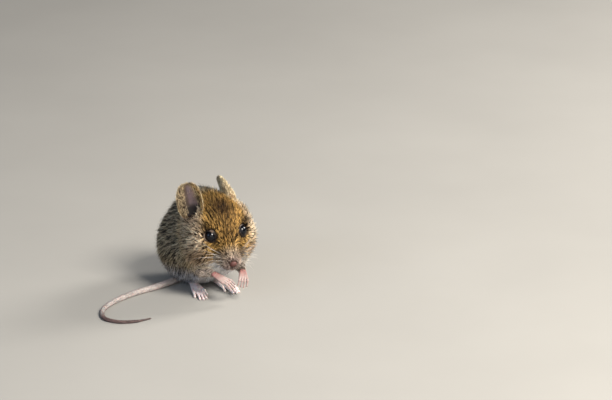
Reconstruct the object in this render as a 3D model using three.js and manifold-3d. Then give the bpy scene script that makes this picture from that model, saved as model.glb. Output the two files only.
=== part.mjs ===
// A young field mouse (long-tailed field mouse, genus Apodemus), life size, sitting hunched on its
// haunches with its forepaws held together under its muzzle and its tail laid out to its right.
// Millimetres, +Z up, the floor at z = 0. The mouse faces -Y, so its left side is +X.
// The fleshy surface is the outline of the coat. The bare feet, ears and tail are skin.
import * as THREE from "three";
import { mergeVertices } from "three/addons/utils/BufferGeometryUtils.js";
import Module from "manifold-3d";

const wasm = await Module();
wasm.setup();

const vec = (x, y, z) => new THREE.Vector3(x, y, z);

// ---- Driving dimensions ----
const CUT = 0.3; // width of the thin cuts between neighbouring parts
const BODY_CELL = 2.66; // size of the facets on the fleshy surface
const SIDES = { left: 1, right: -1 };

const NOSE_TIP = vec(0, -4.9, 13.9); // where the muzzle ends
const HEAD_PITCH = THREE.MathUtils.degToRad(54); // how far the nose points below the horizon

const EYE_RADIUS = 2.05;
const EYE_AT = { out: 5.75, back: 11.6, up: 1.15 }; // eyeball centre, measured from the nose tip

const EAR_LENGTH = 11.2; // from the base, buried in the coat, to the tip
const EAR_HALF_WIDTH = 4.3;
const EAR_THICKNESS = 0.7;
// Where each ear grows, where it points and which way its hollow looks. The left ear is laid back.
const EARS = {
  right: { base: vec(-8.0, 9.3, 29.4), lean: vec(-0.15, 0.22, 0.96), face: vec(-0.55, -0.85, 0.0) },
  left: { base: vec(5.3, 11.3, 29.4), lean: vec(0.05, 0.7, 0.7), face: vec(0.97, -0.2, 0.1) },
};

// The right paw reaches further in and stands a little higher than the left one.
const ARMS = {
  right: { elbow: vec(-8.2, 4.3, 10.4), wrist: vec(-5.4, -0.7, 10.4), knuckles: vec(-2.9, -3.4, 8.5) },
  left: { elbow: vec(6.6, 5.2, 10.4), wrist: vec(5.5, -0.9, 9.5), knuckles: vec(4.4, -3.7, 8.1) },
};
const FINGERTIPS = { right: vec(0.1, -5.1, 5.9), left: vec(3.0, -5.6, 5.9) };

const TRUNK_X = -1.6; // the trunk lies a little to the right of the head's middle plane
const HAUNCH = { out: 7.4, y: 17.4, z: 12.0, half: vec(6.3, 8.8, 8.1) };
const NECK_AXIS = vec(0, -0.915, 0.402); // from the trunk towards the head
const NECK_FRONT = vec(0, 9.6, 22);
const NECK_LENGTH = 4.5;

const FOOT_LENGTH = 16.5; // hind foot, heel to claw tips
const FOOT_TURN = THREE.MathUtils.degToRad(9); // how far the toes point outwards
const HEEL_AT = { out: 3.9, y: 18.4 };

const TAIL_RADIUS = { root: 1.5, tip: 0.45 };
const TAIL_SINK = 0.12; // share of its radius by which the tail is flattened on the floor
const TAIL_LENGTHS = 6;

// A point of the head: out to the side, back from the nose tip along the head, and up from that line.
function onHead(out, back, up) {
  const cos = Math.cos(HEAD_PITCH);
  const sin = Math.sin(HEAD_PITCH);
  return vec(out, back * cos - up * sin, back * sin + up * cos).add(NOSE_TIP);
}

// ---- Forms: distance fields, negative inside ----

// An ellipsoid with its axes along X, Y and Z.
function ellipsoid(centre, radii) {
  return (p) => {
    const from = p.clone().sub(centre).divide(radii);
    const near = from.length();
    const slope = from.divide(radii).length();
    return slope < 1e-9 ? -Math.min(radii.x, radii.y, radii.z) : (near * (near - 1)) / slope;
  };
}

// A cone with round ends between two points.
function roundCone(start, end, startRadius, endRadius) {
  const axis = end.clone().sub(start);
  const length = axis.length();
  axis.normalize();
  return (p) => {
    const from = p.clone().sub(start);
    const along = THREE.MathUtils.clamp(from.dot(axis) / length, 0, 1);
    const off = from.addScaledVector(axis, -along * length).length();
    return off - THREE.MathUtils.lerp(startRadius, endRadius, along);
  };
}

// The union of forms with its creases filled over a width.
function blend(forms, width) {
  return (p) =>
    forms.reduce((nearest, form) => {
      const other = form(p);
      const fill = Math.max(width - Math.abs(nearest - other), 0);
      return Math.min(nearest, other) - (fill * fill) / (4 * width);
    }, Infinity);
}

const bothSides = (make) => Object.values(SIDES).map(make);

const haunchCentre = (side) => vec(TRUNK_X + side * HAUNCH.out, HAUNCH.y, HAUNCH.z);

function trunkForms() {
  return [
    ellipsoid(vec(TRUNK_X, 21.3, 14.9), vec(14.3, 13.8, 10.7)), // rump and flanks
    ellipsoid(vec(TRUNK_X * 0.8, 20.3, 18.7), vec(11.5, 12.4, 12)), // loins
    ellipsoid(vec(TRUNK_X, 20.3, 9.1), vec(10.5, 11.5, 9.4)), // seat and belly
    ellipsoid(vec(TRUNK_X * 0.6, 17.2, 21.4), vec(11.7, 12.6, 14.1)), // hunched back and ribs
    ...bothSides((side) => ellipsoid(haunchCentre(side), HAUNCH.half)),
    ...bothSides((side) => ellipsoid(vec(side * 6.4 - 0.8, 7.6, 15), vec(3.8, 4.8, 5.6))), // shoulders
    ellipsoid(vec(0, 12.8, 22.8), vec(11, 8.4, 10.6)), // neck
  ];
}

function headForms() {
  return [
    ellipsoid(vec(0, 8.2, 25.2), vec(10.6, 9.5, 8.9)), // cranium
    ...bothSides((side) => ellipsoid(vec(side * 7.2, 9.6, 27.8), vec(3.5, 4.2, 3.9))), // ear bases
    roundCone(vec(0, -2.3, 15.9), vec(0, 3.2, 22.8), 2.6, 5.4), // face
    ...bothSides((side) => ellipsoid(vec(side * 7.7, 6.7, 26.0), vec(3.9, 4.5, 4.2))), // temples
    ...bothSides((side) => ellipsoid(vec(side * 6.8, 5.0, 21.2), vec(6.4, 5.2, 6.2))), // cheeks
    ...bothSides((side) => ellipsoid(vec(side * 7.0, 5.2, 17.2), vec(5.0, 5.2, 4.8))), // jowls
    ...bothSides((side) => ellipsoid(vec(side * 1.8, -2.6, 15.2), vec(2.0, 2.3, 2.2))), // whisker pads
    ellipsoid(vec(0, -0.6, 13.2), vec(2.6, 3.0, 2.3)), // chin
    ellipsoid(vec(0, 3.4, 15.4), vec(6.2, 4.8, 4.4)), // jaw and throat
  ];
}

const HEAD_BLEND = 2.6;
const BODY_BLEND = 4.2;

function bodyField() {
  const head = blend(headForms(), HEAD_BLEND);
  const trunk = blend(trunkForms(), BODY_BLEND);
  return blend([trunk, head], BODY_BLEND);
}

// ---- Closed surfaces ----

function closedGeometry(positions, faces) {
  const geometry = new THREE.BufferGeometry();
  geometry.setAttribute("position", new THREE.Float32BufferAttribute(positions, 3));
  geometry.setIndex(faces);
  return geometry;
}

function slopeOf(field, p) {
  const step = 0.05;
  const axes = ["x", "y", "z"];
  const slope = axes.map((axis) => {
    const ahead = p.clone();
    const behind = p.clone();
    ahead[axis] += step;
    behind[axis] -= step;
    return (field(ahead) - field(behind)) / (2 * step);
  });
  return vec(...slope);
}

// Moves a point along the field's slope until it lies on the surface.
function settle(field, p) {
  for (let pass = 0; pass < 3; pass++) {
    const slope = slopeOf(field, p);
    p.addScaledVector(slope, -field(p) / Math.max(slope.lengthSq(), 0.2));
  }
  return p;
}

const CELL_EDGES = [];
for (let corner = 0; corner < 8; corner++)
  for (const bit of [1, 2, 4]) if (!(corner & bit)) CELL_EDGES.push([corner, corner | bit]);

// The field's zero surface as one closed mesh: one point in each grid cell that it crosses, joined
// across each grid edge that it crosses.
function surfaceNet(field, around, cell) {
  const box = around.clone().expandByScalar(cell);
  const count = box.getSize(vec(0, 0, 0)).divideScalar(cell).ceil();
  const [nx, ny, nz] = count.toArray();
  const index = (i, j, k) => i + (nx + 1) * (j + (ny + 1) * k);
  const place = (i, j, k) => vec(i, j, k).multiplyScalar(cell).add(box.min);
  const values = new Float32Array((nx + 1) * (ny + 1) * (nz + 1));
  for (let k = 0; k <= nz; k++)
    for (let j = 0; j <= ny; j++)
      for (let i = 0; i <= nx; i++) values[index(i, j, k)] = field(place(i, j, k));

  const points = [];
  const pointOf = new Int32Array(values.length).fill(-1);
  for (let k = 0; k < nz; k++)
    for (let j = 0; j < ny; j++)
      for (let i = 0; i < nx; i++) {
        const corners = [...Array(8).keys()].map((c) => [i + (c & 1), j + ((c >> 1) & 1), k + (c >> 2)]);
        const middle = vec(0, 0, 0);
        let crossings = 0;
        for (const [a, b] of CELL_EDGES) {
          const va = values[index(...corners[a])];
          const vb = values[index(...corners[b])];
          if (va < 0 === vb < 0) continue;
          middle.add(place(...corners[a]).lerp(place(...corners[b]), va / (va - vb)));
          crossings++;
        }
        if (!crossings) continue;
        pointOf[index(i, j, k)] = points.length;
        points.push(settle(field, middle.divideScalar(crossings)));
      }

  const faces = [];
  const addQuad = (quad, flip) => {
    const [a, b, c, d] = flip ? quad.reverse() : quad;
    faces.push(a, b, c, a, c, d);
  };
  for (let k = 1; k < nz; k++)
    for (let j = 1; j < ny; j++)
      for (let i = 1; i < nx; i++) {
        const here = values[index(i, j, k)] < 0;
        const cellPoint = (di, dj, dk) => pointOf[index(i - di, j - dj, k - dk)];
        if (here !== values[index(i + 1, j, k)] < 0)
          addQuad([cellPoint(0, 1, 1), cellPoint(0, 0, 1), cellPoint(0, 0, 0), cellPoint(0, 1, 0)], !here);
        if (here !== values[index(i, j + 1, k)] < 0)
          addQuad([cellPoint(1, 0, 1), cellPoint(1, 0, 0), cellPoint(0, 0, 0), cellPoint(0, 0, 1)], !here);
        if (here !== values[index(i, j, k + 1)] < 0)
          addQuad([cellPoint(1, 1, 0), cellPoint(0, 1, 0), cellPoint(0, 0, 0), cellPoint(1, 0, 0)], !here);
      }
  relax(field, points, faces);
  return closedGeometry(points.flatMap((p) => p.toArray()), faces);
}

// Evens out the facets: each point moves towards the mean of its neighbours, and back on to the
// surface.
function relax(field, points, faces) {
  for (let pass = 0; pass < 3; pass++) {
    const sums = points.map(() => vec(0, 0, 0));
    const counts = new Uint16Array(points.length);
    for (let f = 0; f < faces.length; f += 3)
      for (let side = 0; side < 3; side++) {
        const from = faces[f + side];
        sums[from].add(points[faces[f + ((side + 1) % 3)]]);
        counts[from]++;
      }
    points.forEach((p, i) => settle(field, p.lerp(sums[i].divideScalar(counts[i]), 0.5)));
  }
}

// A closed tube through points, with a radius at each. The ends are rounded, and flat makes the
// section lower than it is wide.
function taperedTube(points, radii, { sides = 8, steps = 4, flat = 1 } = {}) {
  const curve = new THREE.CatmullRomCurve3(points);
  const last = points.length - 1;
  const rings = last * steps;
  const positions = [];
  const faces = [];
  const radiusAt = (t) => {
    const at = Math.min(t * last, last - 1e-9);
    const from = Math.floor(at);
    return THREE.MathUtils.lerp(radii[from], radii[from + 1], at - from);
  };
  const addRing = (t, shrink, push) => {
    const tangent = curve.getTangent(t);
    const across = vec(-tangent.y, tangent.x, 0);
    if (across.lengthSq() < 1e-6) across.set(1, 0, 0);
    across.normalize();
    const above = tangent.clone().cross(across).multiplyScalar(flat);
    const radius = radiusAt(t);
    const centre = curve.getPoint(t).addScaledVector(tangent, push * radius);
    for (let s = 0; s < sides; s++) {
      const angle = (s / sides) * 2 * Math.PI;
      const p = centre.clone();
      p.addScaledVector(across, Math.cos(angle) * radius * shrink);
      p.addScaledVector(above, Math.sin(angle) * radius * shrink);
      positions.push(...p.toArray());
    }
  };
  addRing(0, 0.6, -0.55 * flat);
  for (let r = 0; r <= rings; r++) addRing(r / rings, 1, 0);
  addRing(1, 0.6, 0.55 * flat);
  const ringCount = rings + 3;
  for (let r = 0; r + 1 < ringCount; r++)
    for (let s = 0; s < sides; s++) {
      const a = r * sides + s;
      const b = r * sides + ((s + 1) % sides);
      faces.push(a, b, a + sides, b, b + sides, a + sides);
    }
  for (let s = 1; s + 1 < sides; s++) {
    const end = (ringCount - 1) * sides;
    faces.push(0, s + 1, s, end, end + s, end + s + 1);
  }
  return closedGeometry(positions, faces);
}

// ---- Solids ----

function solidOf(geometry) {
  const bare = geometry.clone();
  bare.deleteAttribute("normal");
  bare.deleteAttribute("uv");
  const merged = mergeVertices(bare, 1e-4);
  const mesh = new wasm.Mesh({
    numProp: 3,
    vertProperties: merged.attributes.position.array,
    triVerts: new Uint32Array(merged.index.array),
  });
  return new wasm.Manifold(mesh);
}

const solidTube = (points, radii, options) => solidOf(taperedTube(points, radii, options));
const union = (solids) => solids.reduce((all, next) => all.add(next));
const largest = (solid) => solid.decompose().reduce((a, b) => (a.volume() > b.volume() ? a : b));

// A box that covers one side of a plane, so that subtracting it trims a solid there.
function beyond(point, normal) {
  const size = 120;
  const geometry = new THREE.BoxGeometry(size, size, size);
  geometry.translate(0, 0, size / 2);
  const turn = new THREE.Quaternion().setFromUnitVectors(vec(0, 0, 1), normal);
  geometry.applyQuaternion(turn);
  return solidOf(geometry.translate(point.x, point.y, point.z));
}

const underFloor = beyond(vec(0, 0, 0), vec(0, 0, -1));
const onFloor = (solid) => solid.subtract(underFloor);

function ball(centre, radius, width = 14, height = 9) {
  const geometry = new THREE.SphereGeometry(radius, width, height);
  return solidOf(geometry.translate(centre.x, centre.y, centre.z));
}

// ---- Eyes, nose and ears ----

const eyeCentre = (side) => onHead(side * EYE_AT.out, EYE_AT.back, EYE_AT.up);
const eye = (side, grow = 0) => ball(eyeCentre(side), EYE_RADIUS + grow);

// The bare nose pad on the end of the muzzle.
function nose(grow = 0) {
  const geometry = new THREE.SphereGeometry(1, 12, 8);
  geometry.scale(1.35 + grow, 1.05 + grow, 1.15 + grow);
  geometry.rotateX(HEAD_PITCH);
  const centre = onHead(0, 0.55, 0.35);
  return solidOf(geometry.translate(centre.x, centre.y, centre.z));
}

// A closed sheet with two faces: point gives a place for shares of its length and width, and for
// the back (1) or the front (-1).
function closedSheet(rows, columns, point) {
  const positions = [];
  for (const face of [1, -1])
    for (let row = 0; row <= rows; row++)
      for (let column = 0; column <= columns; column++)
        positions.push(...point(row / rows, column / columns, face).toArray());
  const size = (rows + 1) * (columns + 1);
  const at = (row, column, front = 0) => front * size + row * (columns + 1) + column;
  const faces = [];
  const quad = (a, b, c, d) => faces.push(a, c, b, a, d, c);
  for (let row = 0; row < rows; row++)
    for (let column = 0; column < columns; column++) {
      quad(at(row, column), at(row, column + 1), at(row + 1, column + 1), at(row + 1, column));
      quad(at(row, column, 1), at(row + 1, column, 1), at(row + 1, column + 1, 1), at(row, column + 1, 1));
    }
  for (let row = 0; row < rows; row++) {
    quad(at(row, 0), at(row + 1, 0), at(row + 1, 0, 1), at(row, 0, 1));
    quad(at(row + 1, columns), at(row, columns), at(row, columns, 1), at(row + 1, columns, 1));
  }
  for (let column = 0; column < columns; column++) {
    quad(at(0, column + 1), at(0, column), at(0, column, 1), at(0, column + 1, 1));
    quad(at(rows, column), at(rows, column + 1), at(rows, column + 1, 1), at(rows, column, 1));
  }
  return closedGeometry(positions, faces);
}

// One ear: a thin cupped leaf, narrow and rolled at the base, and open and rounded at the top.
function ear(name, grow = 0) {
  const { base, lean, face } = EARS[name];
  const up = lean.clone().normalize();
  const front = face.clone().addScaledVector(up, -face.dot(up)).normalize();
  const across = up.clone().cross(front);
  const widest = 0.45; // share of the ear's length
  const leaf = (along, aside, back) => {
    const rounding = Math.abs((along - widest) / 0.58) ** 2.6;
    const width = EAR_HALF_WIDTH * Math.sqrt(Math.max(1 - rounding, 0.06));
    const roll = THREE.MathUtils.lerp(1.75, 0.95, along);
    const cup = THREE.MathUtils.lerp(0.85, 0.35, along) * width;
    const angle = (2 * aside - 1) * roll * (1 + (1.5 * grow) / width);
    const sin = Math.sin(angle);
    const cos = Math.cos(angle);
    const p = base.clone().addScaledVector(up, along * (EAR_LENGTH + 2 * grow) - grow);
    p.addScaledVector(across, (width * sin) / Math.sin(Math.min(roll, Math.PI / 2)));
    p.addScaledVector(front, cup * (1 - cos));
    const outwards = across.clone().multiplyScalar(sin).addScaledVector(front, -cos);
    return p.addScaledVector(outwards, (EAR_THICKNESS / 2 + grow) * back);
  };
  return solidOf(closedSheet(7, 8, leaf));
}

// ---- Limbs ----

// The furry foreleg from the shoulder to the wrist, bent sharply at the elbow.
function foreleg(name, grow = 0) {
  const { elbow, wrist } = ARMS[name];
  const shoulder = elbow.clone().add(vec(-SIDES[name] * 0.6, 5, 5.5));
  const upper = elbow.clone().add(vec(0, 2.6, 1.8));
  const end = wrist.clone().add(elbow.clone().sub(wrist).setLength(1.5));
  const radii = [3.0, 2.7, 2.2, 1.3].map((r) => r + grow);
  return solidTube([shoulder, upper, elbow, end], radii, { sides: 10, steps: 2 });
}

// A forepaw: the palm and four slim fingers that curl down and in, and the stub of the thumb.
function forepaw(name) {
  const { wrist, knuckles } = ARMS[name];
  const reach = FINGERTIPS[name].clone().sub(knuckles);
  const palm = knuckles.clone().sub(wrist);
  const spread = palm.clone().cross(vec(0, -0.5, 1)).normalize();
  const arch = vec(0, -0.35, 0.5);
  const digit = (points, radii) => solidTube(points, radii, { sides: 5, steps: 1 });
  const palmLine = [0, 0.6, 1].map((along) => wrist.clone().addScaledVector(palm, along));
  const pieces = [solidTube(palmLine, [1.0, 1.3, 1.2], { sides: 8, steps: 2, flat: 0.75 })];
  for (const [finger, share] of [0.85, 1, 0.97, 0.8].entries()) {
    const aside = spread.clone().multiplyScalar((finger - 1.5) * 0.8);
    const root = knuckles.clone().add(aside);
    const bend = root.clone().addScaledVector(reach, 0.5 * share).add(arch);
    const tip = knuckles.clone().addScaledVector(aside, 0.9).addScaledVector(reach, share);
    pieces.push(digit([root, bend, tip], [0.52, 0.46, 0.36]));
  }
  const inwards = -SIDES[name];
  const thumbRoot = palmLine[1].clone().add(vec(inwards * 0.9, 0.3, -0.4));
  const thumbWay = vec(inwards * 0.3, -0.6, -0.5);
  const thumbLine = [0, 0.6, 1.2].map((along) => thumbRoot.clone().addScaledVector(thumbWay, along));
  pieces.push(digit(thumbLine, [0.55, 0.42, 0.32]));
  return union(pieces);
}

// Places a point of the foot, given out from its midline, forward of the heel and up.
function onFoot(side, out, forward, up) {
  const x = HEEL_AT.out + forward * Math.sin(FOOT_TURN) + out;
  return vec(TRUNK_X + side * x, HEEL_AT.y - forward * Math.cos(FOOT_TURN), up);
}

// A hind foot, flat on the floor: heel, instep and five toes, the outer two short.
function hindFoot(side, grow = 0) {
  const ball = FOOT_LENGTH * 0.62;
  const sole = [
    [0, 1, 1.15],
    [0, ball * 0.5, 1.3],
    [0, ball, 1.15],
  ].map(([out, forward, up]) => onFoot(side, out, forward, up));
  const pieces = [
    solidTube(sole, [1.35 + grow, 1.55 + grow, 2.05 + grow], { sides: 10, steps: 2, flat: 0.85 }),
  ];
  const reaches = [0.78, 0.97, 1, 0.96, 0.8];
  for (const [toe, reach] of reaches.entries()) {
    const out = toe - 2;
    const end = FOOT_LENGTH * reach - 0.4;
    const root = ball - 0.6 - Math.abs(out) * 0.7;
    const points = [
      onFoot(side, out * 0.78, root, 1.1),
      onFoot(side, out * 0.92, (root + end) / 2, 1.05),
      onFoot(side, out * 1.02, end, 0.45),
    ];
    pieces.push(solidTube(points, [0.62 + grow, 0.56 + grow, 0.38 + grow], { sides: 5, steps: 1 }));
  }
  return onFloor(union(pieces));
}

// ---- Tail ----

// The tail's path: it leaves the rump low down at the back, and lies on the floor from there on.
// The third value lifts the path off the floor.
const TAIL_PATH = [
  [-1.6, 29.6, 4.6],
  [-3.6, 28.4, 1.6],
  [-8.6, 23.0, 0],
  [-18.0, 19.4, 0],
  [-27.0, 17.6, 0],
  [-36.0, 14.2, 0],
  [-43.2, 8.8, 0],
  [-45.8, 1.6, 0],
  [-43.0, -3.2, 0],
  [-37.4, -5.4, 0],
  [-31.2, -4.8, 0],
];
const tailRadius = (along) =>
  THREE.MathUtils.lerp(TAIL_RADIUS.root, TAIL_RADIUS.tip, THREE.MathUtils.clamp(along, 0, 1) ** 0.85);
const tailLine = new THREE.CatmullRomCurve3(TAIL_PATH.map((place) => vec(...place)), false, "centripetal");

function tailStretch(from, to, steps, grow = 0) {
  const points = [];
  const radii = [];
  for (let step = 0; step <= steps; step++) {
    const along = THREE.MathUtils.lerp(from, to, step / steps);
    const radius = tailRadius(along);
    const point = tailLine.getPointAt(along);
    point.z = Math.max(point.z, 0) + radius * (1 - TAIL_SINK);
    points.push(point);
    radii.push(radius + grow);
  }
  return solidTube(points, radii, { sides: 8, steps: 1 });
}

function tailParts() {
  const length = tailLine.getLength();
  const roundEnd = 0.55; // share of the radius by which a round end stands past its last ring
  return Array.from({ length: TAIL_LENGTHS }, (_, i) => {
    const gap = (at) => (CUT / 2 + roundEnd * tailRadius(at)) / length;
    const start = i / TAIL_LENGTHS;
    const end = (i + 1) / TAIL_LENGTHS;
    const from = i ? start + gap(start) : gap(0);
    const to = i + 1 < TAIL_LENGTHS ? end - gap(end) : 1 - gap(1);
    return onFloor(tailStretch(from, to, 5));
  });
}

// ---- Flesh: modelled whole, then parted with thin cuts ----

// A plug across the haunch that parts the thigh from the trunk.
function thighPlug(side, grow = 0) {
  const inner = 4 - grow;
  const depth = 20;
  const geometry = new THREE.CylinderGeometry(1, 1, depth, 22);
  geometry.rotateZ(Math.PI / 2);
  geometry.scale(1, HAUNCH.half.y * 0.9 + grow, HAUNCH.half.z * 0.9 + grow);
  return solidOf(geometry.translate(TRUNK_X + side * (inner + depth / 2), HAUNCH.y, HAUNCH.z));
}

function fleshParts() {
  const box = new THREE.Box3(vec(-19, -8, -2), vec(19, 38, 38));
  const whole = onFloor(solidOf(surfaceNet(bodyField(), box, BODY_CELL)));
  const holes = [
    nose(CUT),
    tailStretch(0, 0.32, 8, CUT + 0.1),
    ...bothSides((side) => eye(side, CUT)),
    ...bothSides((side) => hindFoot(side, CUT)),
    ...Object.keys(SIDES).flatMap((name) => [ear(name, CUT), foreleg(name, CUT)]),
  ];
  const carved = whole.subtract(union(holes));

  const step = (distance) => NECK_FRONT.clone().addScaledVector(NECK_AXIS, -distance);
  const behind = NECK_AXIS.clone().negate();
  const head = largest(carved.subtract(beyond(step(-CUT / 2), behind)));
  const neck = largest(
    carved
      .subtract(beyond(step(CUT / 2), NECK_AXIS))
      .subtract(beyond(step(NECK_LENGTH - CUT / 2), behind)),
  );
  const rear = carved.subtract(beyond(step(NECK_LENGTH + CUT / 2), NECK_AXIS));
  const trunk = largest(bothSides((side) => thighPlug(side, CUT)).reduce((s, cut) => s.subtract(cut), rear));
  const thighs = Object.entries(SIDES).map(([name, side]) => [
    `thigh_${name}`,
    largest(rear.intersect(thighPlug(side))),
  ]);
  return Object.fromEntries([["head", head], ["neck", neck], ["trunk", trunk], ...thighs]);
}

// ---- Assembly ----

const COLOURS = {
  coat: [0x8a6a42, 0.9],
  bare: [0xd9aca4, 0.6],
  ear: [0x8a6f66, 0.7],
  tail: [0xa3939a, 0.65],
  nose: [0xb98078, 0.45],
  eye: [0x08080a, 0.08],
};
const materials = Object.fromEntries(
  Object.entries(COLOURS).map(([name, [color, roughness]]) => [
    name,
    new THREE.MeshStandardMaterial({ name, color, roughness, metalness: 0 }),
  ]),
);

const mouse = new THREE.Group();

function add(name, solid, material) {
  const { vertProperties, triVerts, numProp } = solid.getMesh();
  const geometry = new THREE.BufferGeometry();
  const positions = new THREE.InterleavedBuffer(vertProperties, numProp);
  geometry.setAttribute("position", new THREE.InterleavedBufferAttribute(positions, 3, 0));
  geometry.setIndex(new THREE.BufferAttribute(triVerts, 1));
  const mesh = new THREE.Mesh(geometry.toNonIndexed(), materials[material]);
  mesh.geometry.computeVertexNormals();
  mesh.name = name;
  mouse.add(mesh);
}

for (const [name, solid] of Object.entries(fleshParts())) add(name, solid, "coat");
add("nose", nose(), "nose");
for (const [name, side] of Object.entries(SIDES)) {
  add(`eye_${name}`, eye(side), "eye");
  add(`ear_${name}`, ear(name), "ear");
  add(`foreleg_${name}`, foreleg(name), "coat");
  add(`forepaw_${name}`, forepaw(name), "bare");
  add(`hind_foot_${name}`, hindFoot(side), "bare");
}
tailParts().forEach((solid, i) => add(`tail_${i + 1}`, solid, "tail"));

// The origin is on the floor, under the middle of the model's box.
const middle = new THREE.Box3().setFromObject(mouse).getCenter(vec(0, 0, 0));
mouse.position.set(-middle.x, -middle.y, 0);

export default mouse;
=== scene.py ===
"""The looks of a still, life-size young field mouse: its skin, coat, eyes, ears, paws, tail and whiskers.

Shapes are worked out in millimetres in the mouse's own frame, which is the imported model's apart from a
shift: the mouse faces -Y, its left side is towards +X, and the floor is at z = 0.
"""

import math

import bmesh
import bpy
import numpy as np
import openvdb
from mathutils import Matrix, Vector
from mathutils.kdtree import KDTree


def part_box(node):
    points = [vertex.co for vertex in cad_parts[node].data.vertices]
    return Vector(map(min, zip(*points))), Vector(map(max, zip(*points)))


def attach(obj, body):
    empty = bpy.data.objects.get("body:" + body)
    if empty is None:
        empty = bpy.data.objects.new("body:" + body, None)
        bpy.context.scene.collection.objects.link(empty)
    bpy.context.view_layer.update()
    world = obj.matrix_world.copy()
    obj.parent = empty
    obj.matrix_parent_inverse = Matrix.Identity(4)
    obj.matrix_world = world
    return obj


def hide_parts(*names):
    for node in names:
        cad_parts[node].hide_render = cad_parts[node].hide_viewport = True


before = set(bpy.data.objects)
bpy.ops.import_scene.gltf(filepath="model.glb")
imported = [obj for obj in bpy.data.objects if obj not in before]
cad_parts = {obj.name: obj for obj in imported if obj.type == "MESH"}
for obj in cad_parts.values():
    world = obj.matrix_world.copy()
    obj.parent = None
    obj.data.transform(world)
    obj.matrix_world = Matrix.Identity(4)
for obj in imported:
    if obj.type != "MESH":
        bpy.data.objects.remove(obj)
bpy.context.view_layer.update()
rng = np.random.default_rng(12)

MM = 0.001  # metres in a millimetre


def vec(*numbers):
    return np.array(numbers, float)


# ---- Driving dimensions, as in the solids ----

SIDES = {"left": 1, "right": -1}

NOSE_TIP = vec(0, -4.9, 13.9)
HEAD_PITCH = math.radians(54)

EYE_RADIUS = 2.05
EYE_AT = (5.75, 11.6, 1.15)  # out, back and up from the nose tip, along the head

NOSE_HALF = (1.35, 1.05, 1.15)  # half its size across, along the head and over it

EAR_LENGTH = 11.2
EAR_HALF_WIDTH = 4.3
EAR_THICKNESS = 0.42
EARS = {
    "right": {"base": vec(-8.0, 9.3, 29.4), "lean": vec(-0.15, 0.22, 0.96), "face": vec(-0.55, -0.85, 0)},
    "left": {"base": vec(5.3, 11.3, 29.4), "lean": vec(0.05, 0.7, 0.7), "face": vec(0.97, -0.2, 0.1)},
}

EARS_REAR = {"right": -1, "left": 1}  # which way across the ear its rear edge lies

ARMS = {
    "right": {
        "elbow": vec(-8.2, 4.3, 10.4),
        "wrist": vec(-5.4, -0.7, 10.4),
        "knuckles": vec(-2.9, -3.4, 8.5),
    },
    "left": {
        "elbow": vec(6.6, 5.2, 10.4),
        "wrist": vec(5.5, -0.9, 9.5),
        "knuckles": vec(4.4, -3.7, 8.1),
    },
}
FINGERTIPS = {"right": vec(0.1, -5.1, 5.9), "left": vec(3.0, -5.6, 5.9)}

TRUNK_X = -1.6
HAUNCH = {"out": 7.4, "y": 17.4, "z": 12.0, "half": (6.3, 8.8, 8.1)}

FOOT_LENGTH = 16.5
FOOT_TURN = math.radians(9)
HEEL_AT = (3.9, 18.4)  # out from the middle of the trunk, and back

TAIL_RADIUS = (1.5, 0.45)  # at the root and at the tip
TAIL_SINK = 0.12  # share of its radius by which it is flattened on the floor
TAIL_PATH = [
    (-1.6, 29.6, 4.6),
    (-3.6, 28.4, 1.6),
    (-8.6, 23.0, 0),
    (-18.0, 19.4, 0),
    (-27.0, 17.6, 0),
    (-36.0, 14.2, 0),
    (-43.2, 8.8, 0),
    (-45.8, 1.6, 0),
    (-43.0, -3.2, 0),
    (-37.4, -5.4, 0),
    (-31.2, -4.8, 0),
]

UP = vec(0, 0, 1)
SKIN_CELL = 0.25  # the size of the skin's facets
PAW_CELL = 0.15
FLOOR_GAP = 0.02  # how far the skin stays above the floor
HEAD_COS, HEAD_SIN = math.cos(HEAD_PITCH), math.sin(HEAD_PITCH)


def on_head(out, back, up):
    """A point of the head: out to the side, back from the nose tip along the head, and up from there."""
    return NOSE_TIP + vec(out, back * HEAD_COS - up * HEAD_SIN, back * HEAD_SIN + up * HEAD_COS)


NOSE_CENTRE = on_head(0, 0.68, 0.3)


def eye_centre(side):
    return on_head(side * EYE_AT[0], *EYE_AT[1:])


def box_centre(node):
    low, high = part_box(node)
    return np.array((low + high) / 2)


# The shift from the mouse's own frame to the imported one, both in millimetres.
SHIFT = box_centre("eye_left") / MM - eye_centre(SIDES["left"])
SHIFT[2] = 0


def to_row(points):
    return (points + SHIFT) * MM


# ---- Small helpers for arrays of points and directions ----


def length_of(v):
    return np.sqrt(np.einsum("...i,...i->...", v, v))


def unit(v):
    return v / np.maximum(length_of(v), 1e-9)[..., None]


def dot(a, b):
    return np.einsum("...i,...i->...", a, b)


def smooth(low, high, x):
    """0 below low and 1 above high, with an even rise between."""
    t = np.clip((x - low) / (high - low), 0, 1)
    return t * t * (3 - 2 * t)


def mix(a, b, share):
    """Blends two rows of numbers, by one share for each point."""
    return a + (b - a) * np.asarray(share)[..., None]


# ---- Forms: distance fields of x, y and z, negative inside ----


def ellipsoid(centre, radii):
    def field(x, y, z):
        parts = [((c - at) / r, r) for c, at, r in zip((x, y, z), centre, radii)]
        near = np.sqrt(sum(q * q for q, _ in parts)) + 1e-6
        slope = np.sqrt(sum((q / r) ** 2 for q, r in parts)) + 1e-6
        return near * (near - 1) / slope

    return field


def round_cone(start, end, start_radius, end_radius):
    start, end = np.asarray(start, float), np.asarray(end, float)
    axis = end - start
    squared = axis @ axis

    def field(x, y, z):
        dx, dy, dz = x - start[0], y - start[1], z - start[2]
        along = np.clip((dx * axis[0] + dy * axis[1] + dz * axis[2]) / squared, 0, 1)
        off = np.sqrt((dx - along * axis[0]) ** 2 + (dy - along * axis[1]) ** 2 + (dz - along * axis[2]) ** 2)
        return off - (start_radius + (end_radius - start_radius) * along)

    return field


def chain(points, radii):
    return [round_cone(a, b, ra, rb) for a, b, ra, rb in zip(points, points[1:], radii, radii[1:])]


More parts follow.
